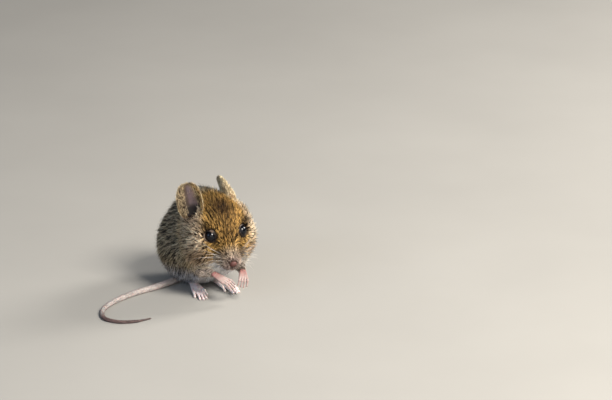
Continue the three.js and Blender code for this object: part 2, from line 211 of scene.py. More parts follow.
def join(a, b, width):
    """The nearer of two fields, with the crease between them filled over a width."""
    fill = np.maximum(width - np.abs(a - b), 0)
    return np.minimum(a, b) - fill * fill / (4 * width)


def blend(forms, width):
    def field(x, y, z):
        nearest = forms[0](x, y, z)
        for form in forms[1:]:
            nearest = join(nearest, form(x, y, z), width)
        return nearest

    return field


def pair(centre, radii, middle=0):
    """The same ellipsoid on both sides of a middle line."""
    return [ellipsoid((middle + side * centre[0], *centre[1:]), radii) for side in SIDES.values()]


def haunch_centre(side):
    return (TRUNK_X + side * HAUNCH["out"], HAUNCH["y"], HAUNCH["z"])


TRUNK_FORMS = [
    ellipsoid((TRUNK_X, 21.3, 14.9), (14.3, 13.8, 10.7)),  # rump and flanks
    ellipsoid((TRUNK_X * 0.8, 20.3, 18.7), (11.5, 12.4, 12)),  # loins
    ellipsoid((TRUNK_X, 20.3, 9.1), (10.5, 11.5, 9.4)),  # seat and belly
    ellipsoid((TRUNK_X * 0.6, 17.2, 21.4), (11.7, 12.6, 14.1)),  # hunched back and ribs
    *[ellipsoid(haunch_centre(side), HAUNCH["half"]) for side in SIDES.values()],
    *pair((6.4, 7.6, 15), (3.8, 4.8, 5.6), middle=-0.8),  # shoulders
    ellipsoid((0, 12.8, 22.8), (11, 8.4, 10.6)),  # neck
]
HEAD_FORMS = [
    ellipsoid((0, 8.2, 25.2), (10.6, 9.5, 8.9)),  # cranium
    *pair((7.2, 9.6, 27.8), (3.5, 4.2, 3.9)),  # ear bases
    round_cone((0, -2.3, 15.9), (0, 3.2, 22.8), 2.6, 5.4),  # face
    *pair((7.7, 6.7, 26.0), (3.9, 4.5, 4.2)),  # temples
    *pair((6.8, 5.0, 21.2), (6.4, 5.2, 6.2)),  # cheeks
    *pair((7.0, 5.2, 17.2), (5.0, 5.2, 4.8)),  # jowls
    *pair((1.8, -2.6, 15.2), (2.0, 2.3, 2.2)),  # whisker pads
    ellipsoid((0, -0.6, 13.2), (2.6, 3.0, 2.3)),  # chin
    ellipsoid((0, 3.4, 15.4), (6.2, 4.8, 4.4)),  # jaw and throat
]
HEAD_BLEND = 2.6
BODY_BLEND = 4.2
body_field = blend([blend(TRUNK_FORMS, BODY_BLEND), blend(HEAD_FORMS, HEAD_BLEND)], BODY_BLEND)


def foreleg_line(name):
    """The middle of the foreleg, from the shoulder to the wrist."""
    elbow = ARMS[name]["elbow"]
    return [elbow + (-SIDES[name] * 0.6, 5, 5.5), elbow + (0, 2.6, 1.8), elbow, ARMS[name]["wrist"]]


LEG_RADII = (3.0, 2.7, 2.2, 1.25)
leg_field = blend([form for name in SIDES for form in chain(foreleg_line(name), LEG_RADII)], 1.0)


def coat_field(x, y, z):
    """The outline of the coat, out to the tips of its hairs."""
    return join(body_field(x, y, z), leg_field(x, y, z), 1.0)


def slope_of(field, points, step=0.04):
    slope = np.empty_like(points)
    for axis in range(3):
        ahead, behind = points.copy(), points.copy()
        ahead[:, axis] += step
        behind[:, axis] -= step
        slope[:, axis] = (field(*ahead.T) - field(*behind.T)) / (2 * step)
    return slope


def settle(field, points, level, passes=2):
    """Moves points along the field's slope until they lie at a level of it."""
    for _ in range(passes):
        slope = slope_of(field, points)
        step = (field(*points.T) - level) / np.maximum(dot(slope, slope), 0.2)
        points = points - slope * step[:, None]
    return points


def far_from(place, x, y, z):
    return np.sqrt((x - place[0]) ** 2 + (y - place[1]) ** 2 + (z - place[2]) ** 2)


COAT_DEPTH = (0.35, 1.25, 3.1)  # on the muzzle, on the crown and on the back


def coat_depth(x, y, z):
    """How far the skin lies inside the outline of the coat."""
    away = far_from(NOSE_TIP, x, y, z)
    muzzle, crown, back = COAT_DEPTH
    return muzzle + (crown - muzzle) * smooth(2, 17, away) + (back - crown) * smooth(20, 33, away)


# ---- Paws and feet, as forms ----


def digit(points, radii, pad):
    """One finger or toe: bones that taper, with a knuckle at each joint and a soft pad under the tip."""
    forms = chain(points, radii)
    forms += [ellipsoid(p, (r * 1.16,) * 3) for p, r in zip(points[1:-1], radii[1:-1])]
    forms.append(ellipsoid(points[-1] + pad, (radii[-1] * 1.25,) * 3))
    return forms


def forepaw_lines(name):
    """The middle lines of the four fingers, each from the wrist to its tip."""
    arm = ARMS[name]
    palm = arm["knuckles"] - arm["wrist"]
    reach = FINGERTIPS[name] - arm["knuckles"]
    spread = unit(np.cross(palm, vec(0, -0.5, 1)))
    arch = vec(0, -0.35, 0.5)
    lines = []
    for finger, share in enumerate((0.85, 1, 0.97, 0.8)):
        aside = spread * (finger - 1.5) * 0.86
        root = arm["knuckles"] + aside
        bend = root + reach * 0.5 * share + arch + aside * 0.12
        tip = arm["knuckles"] + aside * 1.2 + reach * share
        lines.append([arm["wrist"] + aside * 0.45, root, bend, tip])
    return lines


def forepaw_forms(name):
    arm = ARMS[name]
    forms = []
    for line in forepaw_lines(name):
        forms += chain(line[:2], (0.6, 0.5))
        forms += digit(line[1:], (0.42, 0.36, 0.27), vec(0, 0.08, -0.08))
    inwards = -SIDES[name]
    thumb = arm["wrist"] + (arm["knuckles"] - arm["wrist"]) * 0.6 + vec(inwards * 0.9, 0.3, -0.4)
    way = vec(inwards * 0.3, -0.6, -0.5)
    forms += chain([thumb, thumb + way * 0.6, thumb + way * 1.1], (0.5, 0.42, 0.34))
    palm_pad = arm["wrist"] + (arm["knuckles"] - arm["wrist"]) * 0.75 + vec(0, 0.5, -0.6)
    forms.append(ellipsoid(palm_pad, (1.0, 0.7, 0.6)))
    return forms


def on_foot(side, out, forward, up):
    x = HEEL_AT[0] + forward * math.sin(FOOT_TURN) + out
    return vec(TRUNK_X + side * x, HEEL_AT[1] - forward * math.cos(FOOT_TURN), up)


BALL_AT = FOOT_LENGTH * 0.62
TOE_REACH = (0.78, 0.97, 1, 0.96, 0.8)


def toe_line(side, toe):
    """The middle line of a hind toe, from its root to its tip."""
    out = toe - 2
    end = FOOT_LENGTH * TOE_REACH[toe] - 0.4
    root = BALL_AT - 0.6 - abs(out) * 0.7
    return [
        on_foot(side, out * 0.8, root, 1.1),
        on_foot(side, out * 1.0, (root + end) / 2, 1.15),
        on_foot(side, out * 1.15, end, 0.42),
    ]


def hind_foot_forms(side):
    forms = [
        round_cone(on_foot(side, 0, 0, 1.15), on_foot(side, 0, BALL_AT * 0.5, 1.15), 1.2, 1.15),
        round_cone(on_foot(side, 0, BALL_AT * 0.5, 1.15), on_foot(side, 0, BALL_AT * 0.85, 1.0), 1.15, 1.0),
    ]
    for toe in range(5):
        line = toe_line(side, toe)
        instep = on_foot(side, (toe - 2) * 0.42, BALL_AT * 0.35, 1.45)
        forms += chain([instep, line[0]], (0.62, 0.6))
        forms += digit(line, (0.52, 0.46, 0.36), vec(0, 0.15, -0.02))
    return forms


DIGIT_BLEND = 0.16
bare_field = blend(
    [form for name in SIDES for form in forepaw_forms(name)]
    + [form for side in SIDES.values() for form in hind_foot_forms(side)],
    DIGIT_BLEND,
)

# ---- The skin ----

EYE_LOOK = (0.64, -0.66, 0.34)  # out, forward and up: the way that an eye looks
LID_TURN = math.radians(66)  # how far from the middle of the eye its lids lie
LID_THICKNESS = 0.22
LID_ROUND = 0.25
LID_BLEND = 1.4  # width over which the lids run into the face
# How much flatter than round the opening of the lids is above and below, and its slant.
EYE_OVAL = {"right": (3.0, 1.4, 0.28), "left": (1.6, 1.2, 0.1)}
EYE_GAP = 0.03


def lidded(skin, name, x, y, z):
    """Wraps the skin round an eyeball and opens it in front, so that it has lids."""
    side = SIDES[name]
    axis = unit(vec(side * EYE_LOOK[0], *EYE_LOOK[1:]))
    level = unit(np.cross(UP, axis))
    upright = np.cross(axis, level)
    centre = eye_centre(side)
    dx, dy, dz = x - centre[0], y - centre[1], z - centre[2]
    high, wide, tall = (dx * way[0] + dy * way[1] + dz * way[2] for way in (axis, level, upright))
    away = np.sqrt(dx * dx + dy * dy + dz * dz)
    skin = join(skin, away - EYE_RADIUS - LID_THICKNESS, LID_BLEND)
    above, below, slant = EYE_OVAL[name]
    tall = tall + slant * wide
    off_axis = np.sqrt(wide**2 + (tall * np.where(tall > 0, above, below)) ** 2)
    outside_opening = off_axis * math.cos(LID_TURN) - high * math.sin(LID_TURN)
    skin = -join(-skin, outside_opening, LID_ROUND)
    return np.maximum(skin, EYE_RADIUS + EYE_GAP - away)


def ear_ways(name):
    """The ear's own directions: up along it, out of its hollow, and across it."""
    ear = EARS[name]
    up = unit(ear["lean"])
    front = unit(ear["face"] - up * (ear["face"] @ up))
    return up, front, np.cross(up, front)


def ear_width(along):
    """Half the ear's width at shares of its length."""
    rounding = np.abs((along - 0.45) / np.where(along < 0.45, 0.58, 0.55)) ** 2.5
    return EAR_HALF_WIDTH * np.sqrt(np.maximum(1 - rounding, 0.004))


def ear_hollow(name):
    """The scoop in the head at the foot of an ear, where its canal starts."""
    up, front, _ = ear_ways(name)
    return ellipsoid(EARS[name]["base"] + up * 1.5 + front * 1.7, (2.2, 2.2, 2.5))


ear_hollows = blend([ear_hollow(name) for name in SIDES], 0.2)


MOUTH_LINE = [on_head(2.3, 3.4, -3.3), on_head(0, 0.9, -2.0), on_head(-2.3, 3.4, -3.3)]
mouth_groove = blend(chain(MOUTH_LINE, (0.14, 0.24, 0.14)), 0.2)
lip_groove = round_cone(on_head(0, 0.2, -0.9), on_head(0, 0.8, -2.0), 0.16, 0.2)


def skin_field(x, y, z):
    """The bare skin under the coat and over the forelegs, with lids, a mouth and hollows at the foot of the
    ears.
    """
    skin = body_field(x, y, z) + coat_depth(x, y, z)
    skin = join(skin, leg_field(x, y, z) + 0.5, 1.2)
    for cut, width in ((mouth_groove, 0.3), (lip_groove, 0.3), (ear_hollows, 0.8)):
        skin = -join(-skin, cut(x, y, z), width)
    for name in SIDES:
        skin = lidded(skin, name, x, y, z)
    return skin


SKIN_BOX = (vec(-18, -7.5, -0.6), vec(16.5, 36, 37))
PAW_BOX = (vec(-13, -7.5, -0.6), vec(10.5, 20, 12.5))


def surface_of(field, box, cell):
    """A field's zero surface as points and quads, cut level with the floor."""
    axes = [np.arange(low, high, cell, dtype=np.float32) for low, high in zip(*box)]
    x, y, z = np.meshgrid(*axes, indexing="ij", sparse=True)
    values = np.maximum(field(x, y, z), FLOOR_GAP - z)
    grid = openvdb.FloatGrid(1.0)
    grid.copyFromArray(values.astype(np.float32))
    points, quads = grid.convertToQuads(0.0)
    return points.astype(float) * cell + box[0], quads.astype(int)


def new_object(name, points, faces, material):
    """A mesh object from points in the mouse's own frame, in millimetres, and its faces."""
    mesh = bpy.data.meshes.new(name)
    sides = faces.shape[1]
    mesh.vertices.add(len(points))
    mesh.vertices.foreach_set("co", to_row(points).astype(np.float32).ravel())
    mesh.loops.add(faces.size)
    mesh.loops.foreach_set("vertex_index", faces.astype(np.int32).ravel())
    mesh.polygons.add(len(faces))
    mesh.polygons.foreach_set("loop_start", np.arange(0, faces.size, sides, dtype=np.int32))
    mesh.update(calc_edges=True)
    mesh.shade_smooth()
    mesh.materials.append(material)
    made = bpy.data.objects.new(name, mesh)
    bpy.context.scene.collection.objects.link(made)
    return made


def paint(mesh, colours):
    """Stores a colour for each vertex."""
    layer = mesh.attributes.new("tone", "FLOAT_COLOR", "POINT")
    rgba = np.ones((len(colours), 4), np.float32)
    rgba[:, :3] = colours
    layer.data.foreach_set("color", rgba.ravel())


# ---- Surfaces made of loops of points ----


def bands_of(count, size):
    """Quads between loops of points that follow one another, each loop of one size."""
    step = np.arange(size)
    a, b = (np.arange(count)[:, None] * size + s for s in (step, (step + 1) % size))
    return np.stack([a, b, b + size, a + size], axis=2).reshape(-1, 4)


def closed_bands(count, size):
    """The same, with quads across the first loop and the last one."""
    step = np.arange(size // 2 - 1)
    cap = np.stack([step, step + 1, size - 2 - step, size - 1 - step], axis=1)
    return np.vstack([bands_of(count, size), cap[:, ::-1], cap + count * size])


def ring_ways(across, above, sides):
    """The ways out to a ring round each point of a line, from the two directions of its section."""
    angle = (np.arange(sides) / sides * 2 * np.pi)[:, None]
    return across[:, None] * np.cos(angle) + above[:, None] * np.sin(angle)


# ---- Ears ----


def ear_leaf(name):
    """The ear's middle sheet: a function from shares of its length and width to a point and a normal."""
    up, front, across = ear_ways(name)

    def leaf(along, aside):
        width = ear_width(along)
        roll = 1.75 + (0.95 - 1.75) * along
        cup = (0.85 + (0.35 - 0.85) * along) * width
        angle = (2 * aside - 1) * roll
        sin, cos = np.sin(angle), np.cos(angle)
        point = (
            EARS[name]["base"]
            + up * (along * EAR_LENGTH)[..., None]
            + across * (width * sin / np.sin(np.minimum(roll, np.pi / 2)))[..., None]
            + front * (cup * (1 - cos))[..., None]
        )
        outwards = across * sin[..., None] - front * cos[..., None]
        return point, outwards

    return leaf


def ear_surface(name, rows=48, columns=40):
    """The ear as a closed sheet whose edge is rounded: one loop of points round it for each row."""
    leaf = ear_leaf(name)
    loop_size = 2 * columns
    step = np.arange(loop_size)
    on_back = step < columns
    aside = np.where(on_back, (step + 0.5) / columns, (loop_size - step - 0.5) / columns)
    side = np.where(on_back, 1.0, -1.0)
    points = []
    for row in range(rows + 1):
        along = np.full(loop_size, math.sin(math.pi / 2 * row / rows))
        point, outwards = leaf(along, aside)
        edge = np.minimum(np.minimum(aside, 1 - aside) * 9, 1 - along**24)
        thick = EAR_THICKNESS / 2 * np.sqrt(np.clip(edge, 0.04, 1))
        points.append(point + outwards * (side * thick)[:, None])
    return np.concatenate(points), closed_bands(rows, loop_size)


# ---- Tail ----


def spline(path, samples):
    """Evenly spaced points on a centripetal Catmull-Rom curve through a path."""
    path = np.array(path, float)
    padded = np.vstack([2 * path[0] - path[1], path, 2 * path[-1] - path[-2]])
    fine = []
    for p0, p1, p2, p3 in zip(padded, padded[1:], padded[2:], padded[3:]):
        knots = np.cumsum([0] + [length_of(b - a) ** 0.5 for a, b in ((p0, p1), (p1, p2), (p2, p3))])
        t = np.linspace(knots[1], knots[2], 60, endpoint=False)[:, None]

        def between(a, b, low, high):
            return (a * (high - t) + b * (t - low)) / (high - low)

        pairs = ((p0, p1), (p1, p2), (p2, p3))
        a1, a2, a3 = (between(p, q, knots[i], knots[i + 1]) for i, (p, q) in enumerate(pairs))
        b1, b2 = between(a1, a2, knots[0], knots[2]), between(a2, a3, knots[1], knots[3])
        fine.append(between(b1, b2, knots[1], knots[2]))
    fine = np.vstack([*fine, path[-1:]])
    run = np.concatenate([[0], np.cumsum(length_of(np.diff(fine, axis=0)))])
    at = np.linspace(0, run[-1], samples)
    return np.stack([np.interp(at, run, fine[:, axis]) for axis in range(3)], axis=1), run[-1]


TAIL_SIDES = 16
TAIL_RING = 0.46  # from one ring of scales to the next
RINGS_OF_POINTS = 4  # for each ring of scales


def tail_radius(along, length):
    """The tail's radius at shares of its length, a little finer than in the solids near the tip."""
    root, tip = TAIL_RADIUS
    return (root + (tip - root) * along**0.85) * (0.55 + 0.45 * smooth(0, 9, (1 - along) * length))


def tail_frames(samples):
    """Points, radii and the two directions of the section, along the tail."""
    line, length = spline(TAIL_PATH, samples)
    along = np.linspace(0, 1, samples)
    radius = tail_radius(along, length)
    line[:, 2] = np.maximum(line[:, 2], 0) + radius * (1 - TAIL_SINK)
    tangent = unit(np.gradient(line, axis=0))
    across = unit(np.cross(UP, tangent))
    return line, radius, across, np.cross(tangent, across)


def tail_surface():
    _, length = spline(TAIL_PATH, 2)
    samples = int(length / TAIL_RING) * RINGS_OF_POINTS
    line, radius, across, above = tail_frames(samples)
    ring = np.arange(samples) % RINGS_OF_POINTS / RINGS_OF_POINTS
    scale = 0.96 - 0.055 * ring
    end = np.linspace(length, 0, samples)
    rounding = np.sqrt(np.clip(1 - (1 - np.minimum(end / 0.8, 1)) ** 2, 0.02, 1))
    size = (radius * scale * rounding)[:, None, None]
    points = line[:, None] + ring_ways(across, above, TAIL_SIDES) * size
    points[..., 2] = np.maximum(points[..., 2], FLOOR_GAP)
    return points.reshape(-1, 3), closed_bands(samples - 1, TAIL_SIDES)


# ---- Markings, with some light and shade painted in: what colour the coat and the skin have at a place ----


def colour(code):
    """A colour written as in a paint chart, as linear light."""
    parts = [int(code[i : i + 2], 16) / 255 for i in (0, 2, 4)]
    return vec(*(p / 12.92 if p < 0.04045 else ((p + 0.055) / 1.055) ** 2.4 for p in parts))


NECK_AXIS = vec(0, -0.915, 0.402)
NECK_FRONT = vec(0, 9.6, 22)


def head_places(points):
    """Back from the nose tip along the head, up from that line, and how far in front of the neck."""
    _, dy, dz = (points - NOSE_TIP).T
    ahead = (points - NECK_FRONT) @ NECK_AXIS
    return dy * HEAD_COS + dz * HEAD_SIN, dz * HEAD_COS - dy * HEAD_SIN, ahead


def near_to(points, place, reach):
    """1 at a place, falling to 0 over a reach, which may differ along X, Y and Z."""
    return np.exp(-length_of((points - place) / reach) ** 2)


def eye_distance(points):
    """How far each place is from the middle of the nearer eye."""
    return np.minimum(*(length_of(points - eye_centre(side)) for side in SIDES.values()))


def hair(near_skin, tip, dark, dark_share):
    """A kind of coat: its hair's colour near the skin and at the tips, its dark hairs and their share."""
    return np.concatenate([colour(near_skin), colour(tip), colour(dark), [dark_share]])


FUR = {
    "back": hair("171719", "e2d2b6", "0b0b0d", 0.62),
    "flank": hair("2b2119", "d6bf98", "130d09", 0.58),
    "belly": hair("50525f", "e4e8f6", "26282f", 0.4),
    "brow": hair("38230a", "e0b266", "1b1107", 0.44),
    "patch": hair("1e1306", "654628", "110a04", 0.6),
    "cheek": hair("4c341f", "fde2c0", "23170d", 0.43),
    "jowl": hair("362414", "bc946a", "180f07", 0.52),
    "muzzle": hair("5a4437", "e0ccb8", "22170f", 0.36),
    # pad: dark whisker-pad hair, partly painted shade of the crease between cheek and muzzle
    "pad": hair("1f150d", "7a6850", "0f0804", 0.6),
    "snout": hair("604840", "cfb9ad", "3a2a25", 0.36),
    "chin": hair("f4efea", "ffffff", "d8d0c8", 0.15),
    "eye_ring": hair("1d140c", "3a2815", "120c07", 0.5),
    "ear": hair("6a4f33", "f0d9b0", "2e1f0f", 0.42),
    "leg": hair("6e5d50", "cfc0b2", "3c3029", 0.4),
}


def fur_colours(points):
    """The coat at each place: its colour near the skin, at the tips, of the dark hairs, and their share."""
    back, up, ahead = head_places(points)
    away = length_of(points - NOSE_TIP)
    out = np.abs(points[:, 0])
    height = points[:, 2]
    mirrored = np.column_stack([out, points[:, 1:]])
    on_head_share = smooth(-2.5, 2.5, ahead - 0.4 * np.maximum(height - 28, 0))
    layers = [
        ("flank", 1 - smooth(10, 18, height)),
        ("belly", 1 - smooth(8, 14, height)),
        ("brow", on_head_share),
        ("patch", near_to(points, vec(0, 2.5, 30.5), vec(4.3, 6, 5.5)) * 0.95),
        ("patch", near_to(points, vec(0, -1.5, 23.5), vec(3, 3, 3.6)) * 0.6),
        ("cheek", on_head_share * smooth(5.5, 9.5, out + 0.9 * np.clip(0.3 * back - up - 3, -3, 3))),
        # Painted shade: dark fur at the front of each ear's foot, in the crown patch's colour, for the shade
        # under the ear.
        ("patch", near_to(mirrored, vec(8.6, 6.6, 27.8), vec(2.4, 2.4, 1.9)) * 0.75),
        ("jowl", near_to(mirrored, vec(10.2, 0.5, 17.1), vec(4.5, 4, 3)) * 0.85),
        ("flank", smooth(-6, -2, ahead) * smooth(9.5, 5.5, height) * 0.6),
        ("muzzle", (1 - smooth(3.5, 7.5, away)) * 0.85),
        # Dark hair on the whisker pads, which is partly painted shade of the crease between cheek and muzzle.
        ("pad", near_to(mirrored, vec(3.9, -1.2, 17.6), vec(1.5, 1.9, 1.5))),
        ("snout", 1 - smooth(1.6, 4, away)),
        ("chin", smooth(0.1, -0.8, up + 0.52 * back + 1.53) * smooth(7, 4.5, out) * smooth(12, 8, back)),
        ("chin", near_to(points, vec(0, 6, 8.5), vec(5, 7, 4)) * 0.8),
        ("leg", smooth(0.4, -0.4, leg_field(*points.T) - body_field(*points.T)) * smooth(14, 11.5, height)),
        ("eye_ring", near_to(mirrored, eye_centre(1) + vec(0.9, 1.2, 2.2), vec(2, 2.3, 1.2))),
        ("eye_ring", near_to(mirrored, eye_centre(1) + vec(-1.4, -1.7, -1.8), vec(1.1, 1.1, 1.1)) * 0.9),
    ]
    mixed = np.broadcast_to(FUR["back"], (len(points), 10))
    for name, share in layers:
        mixed = mix(mixed, FUR[name], share)
    return mixed[:, :3], mixed[:, 3:6], mixed[:, 6:9], mixed[:, 9]


SKIN = {
    "paw": colour("a18c87"),
    # foot: paler than the forepaws' bare skin, as painted light for sun on the hind feet
    "foot": colour("e6d6d4"),
    "wrist": colour("84443f"),
    "tail": colour("b7aea9"),
    "tail_end": colour("6a5450"),
    "tail_under": colour("c2b2ae"),
    "concha": colour("5a4c4e"),
    "concha_rear": colour("2c2320"),
    # painted shade: near black for the dark inside the canal at the foot of each ear
    "ear_canal_shade": colour("140e0c"),
    # ear_back: paler skin on the backs of the ears, as painted light for sun on them
    "ear_back": colour("917860"),
    "ear_rim": colour("8a6c4a"),
    "lid": colour("8f7a69"),
    "dark_lid": colour("1a110b"),
}


def tail_end_share(points):
    """How much each place of the tail belongs to its darker end, past the hook's bend."""
    return smooth(8, 1, points[:, 1])


def skin_colours(points, part):
    """The skin's colour, with some light and shade painted in: part says which part of the body each vertex
    belongs to.
    """
    # Painted shade: the skin under the coat takes the hair's colour near the skin, darkened, so that the gaps
    # between the tufts read as shade.
    colours = fur_colours(points)[0] * 0.7
    for side in SIDES.values():
        away = points - eye_centre(side)
        rear = smooth(0.4, 0.8, unit(away) @ vec(side * 0.55, 0.7, -0.45))
        # Painted highlight: above puts a pale patch on each upper lid, in the lid's pale colour at 0.4,
        # standing in for a glint on the lid.
        above = smooth(0.92, 0.99, unit(away) @ vec(-side * 0.03, -0.38, 0.92)) * 0.4
        lid = smooth(EYE_RADIUS + 0.5, EYE_RADIUS + 0.3, length_of(away))
        colours = mix(colours, mix(SKIN["dark_lid"], SKIN["lid"], np.maximum(rear, above)), lid)
    # Painted shade: the scoop at the foot of each ear is painted near black for the dark of its canal.
    colours = mix(colours, SKIN["ear_canal_shade"], smooth(0.5, 0.1, ear_hollows(*points.T)))
    bare = smooth(0.45, -0.1, bare_field(*points.T))
    wrist = np.maximum(*(near_to(points, ARMS[name]["wrist"], 2.2) for name in SIDES))
    # Painted light: below 3.2 mm the bare skin turns to the paler foot colour, for sun on the hind feet.
    paw = mix(SKIN["paw"][None], SKIN["foot"], smooth(4.2, 3.2, points[:, 2]))
    paw = mix(paw, SKIN["wrist"], wrist * 0.8)
    colours = mix(colours, paw, bare)
    end = tail_end_share(points)
    tail = mix(SKIN["tail"][None], SKIN["tail_under"], smooth(0.9, 0.3, points[:, 2]))
    tail = mix(tail, SKIN["tail_end"], end)
    colours = mix(colours, tail, part == PARTS["tail"])
    for name in SIDES:
        inner, rim, rear, top = ear_shares(name, points)
        concha = mix(SKIN["concha"][None], SKIN["concha_rear"], rear)
        ear = mix(np.broadcast_to(SKIN["ear_back"], points.shape), concha, inner)
        ear = mix(ear, mix(SKIN["ear_rim"][None], SKIN["concha_rear"], 0.7 * top), rim)
        # Painted shade of the canal, on the ear's own skin near its foot.
        ear = mix(ear, SKIN["ear_canal_shade"], smooth(1.2, -0.4, ear_hollows(*points.T)) * inner)
        colours = mix(colours, ear, part == PARTS[f"ear_{name}"])
    return colours


PARTS = {"body": 0, "tail": 1, "ear_left": 2, "ear_right": 3}


def ear_shares(name, points):
    """How much each place lies in the ear's hollow, on its rim, to its rear and at its top."""
    up, front, across = ear_ways(name)
    place = points - EARS[name]["base"]
    along, aside, fore = (place @ way for way in (up, across, front))
    width = ear_width(along / EAR_LENGTH)
    share = np.abs(aside) / width
    rim = np.maximum(smooth(0.86, 0.99, share), smooth(0.9, 0.99, along / EAR_LENGTH))
    hollow = smooth(-0.1, 0.25, fore - 0.4 * width * share**2)
    rear = smooth(0, 0.32, EARS_REAR[name] * aside / width)
    return hollow, rim, rear, smooth(0.84, 0.95, along / EAR_LENGTH)


# ---- Materials ----


def material(name, roughness, specular, tint, scale, low, high, relief=None):
    """A Principled material of one tint, or of the mesh's own tones, varied by a noise of some scale.

    relief is the scale, height and strength of a fine bump.
    """
    made = bpy.data.materials.new(name)
    made.use_nodes = True
    nodes, links = made.node_tree.nodes, made.node_tree.links
    shader = nodes["Principled BSDF"]
    shader.inputs["Roughness"].default_value = roughness
    shader.inputs["Specular IOR Level"].default_value = specular
    coordinates = nodes.new("ShaderNodeTexCoord").outputs["Object"]

    def add(kind, wired, **values):
        """A node with wires into some of its sockets and values in others."""
        node = nodes.new(kind)
        for socket, value in values.items():
            node.inputs[socket.replace("_", " ")].default_value = value
        for socket, source in wired.items():
            links.new(source, node.inputs[socket])
        return node

    if tint is None:
        source = nodes.new("ShaderNodeAttribute")
        source.attribute_name = "tone"
    else:
        source = nodes.new("ShaderNodeRGB")
        source.outputs["Color"].default_value = (*tint, 1)
    noise = add("ShaderNodeTexNoise", {"Vector": coordinates}, Scale=scale, Detail=4.0)
    spread = {"From_Min": 0.3, "From_Max": 0.7, "To_Min": low, "To_Max": high}
    strength = add("ShaderNodeMapRange", {"Value": noise.outputs["Fac"]}, **spread)
    scaled = nodes.new("ShaderNodeVectorMath")
    scaled.operation = "SCALE"
    links.new(source.outputs["Color"], scaled.inputs[0])
    links.new(strength.outputs["Result"], scaled.inputs["Scale"])
    links.new(scaled.outputs["Vector"], shader.inputs["Base Color"])
    if relief:
        fineness, height, bumpiness = relief
        texture = add("ShaderNodeTexVoronoi", {"Vector": coordinates}, Scale=fineness)
        bump = add("ShaderNodeBump", {"Height": texture.outputs[0]}, Distance=height, Strength=bumpiness)
        links.new(bump.outputs["Normal"], shader.inputs["Normal"])
    return made


def skin_material():
    made = material("skin", 0.5, 0.25, None, 900, 0.85, 1.12, (3200, 0.00008, 0.5))
    shader = made.node_tree.nodes["Principled BSDF"]
    shader.inputs["Subsurface Weight"].default_value = 0.25
    shader.inputs["Subsurface Radius"].default_value = (1.0, 0.35, 0.25)
    shader.inputs["Subsurface Scale"].default_value = 0.0006
    return made


# ---- Building the skin ----


def unite(base, *others):
    """Joins closed meshes into one, with no faces left inside."""
    bpy.context.view_layer.objects.active = base
    for other in others:
        modifier = base.modifiers.new("join", "BOOLEAN")
        modifier.operation = "UNION"
        modifier.solver = "MANIFOLD"
        modifier.object = other
        bpy.ops.object.modifier_apply(modifier=modifier.name)
        bpy.data.objects.remove(other)


def points_of(made):
    flat = np.empty(len(made.data.vertices) * 3, np.float32)
    made.data.vertices.foreach_get("co", flat)
    return flat.reshape(-1, 3).astype(float) / MM - SHIFT


def part_of(points):
    """Which part of the body each vertex of the skin belongs to."""
    part = np.zeros(len(points), int)
    line, radius, *_ = tail_frames(400)
    tree = KDTree(len(line))
    for i, place in enumerate(line):
        tree.insert(Vector(place), i)
    tree.balance()
    outside = skin_field(*points.T) > 0.12
    for i in np.flatnonzero(outside & (bare_field(*points.T) > 0.12)):
        _, nearest, distance = tree.find(Vector(points[i]))
        if distance < radius[nearest] * 1.15:
            part[i] = PARTS["tail"]
        else:
            part[i] = PARTS["ear_left" if points[i][0] > 0 else "ear_right"]
    return part


def make_skin():
    fur_skin = skin_material()
    skin = new_object("skin", body_points, body_quads, fur_skin)
    extras = [new_object(f"ear_{name}_skin", *ear_surface(name), fur_skin) for name in SIDES]
    extras.append(new_object("tail_skin", *tail_surface(), fur_skin))
    extras.append(new_object("paw_skin", *surface_of(bare_field, PAW_BOX, PAW_CELL), fur_skin))
    unite(skin, *extras)
    points = points_of(skin)
    paint(skin.data, skin_colours(points, part_of(points)))
    skin.data.shade_smooth()
    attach(skin, "root")
    paired = ("thigh", "ear", "foreleg", "forepaw", "hind_foot")
    flesh = ["head", "neck", "trunk"]
    flesh += [f"{part}_{name}" for part in paired for name in SIDES]
    flesh += [f"tail_{i + 1}" for i in range(6)]
    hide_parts(*flesh)


body_points, body_quads = surface_of(skin_field, SKIN_BOX, SKIN_CELL)
make_skin()

# ---- Eyes, nose, claws and whiskers ----


def ball_surface(rings, sides):
    """A unit ball: its points, and its faces as quads whose corners meet at the poles."""
    polar = (np.pi * np.arange(rings + 1) / rings)[:, None]
    turn = 2 * np.pi * np.arange(sides) / sides
    x, y = np.sin(polar) * np.cos(turn), np.sin(polar) * np.sin(turn)
    points = np.stack([x, y, np.broadcast_to(np.cos(polar), x.shape)], axis=2).reshape(-1, 3)
    return points, bands_of(rings, sides)[:, [0, 3, 2, 1]]


def weld(made, distance=1e-7):
    """Welds the points that lie in one place and drops the faces that vanish."""
    mesh = bmesh.new()
    mesh.from_mesh(made.data)
    bmesh.ops.remove_doubles(mesh, verts=mesh.verts, dist=distance)
    bmesh.ops.recalc_face_normals(mesh, faces=mesh.faces)
    mesh.to_mesh(made.data)
    mesh.free()
    made.data.shade_smooth()


def make_eyes():
    glossy = material("eye", 0.05, 0.3, colour("030409"), 300, 0.5, 1.5)
    points, faces = ball_surface(40, 64)
    for name, side in SIDES.items():
        eye = new_object(f"eyeball_{name}", points * EYE_RADIUS + eye_centre(side), faces, glossy)
        weld(eye)
        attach(eye, "root")
        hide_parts(f"eye_{name}")


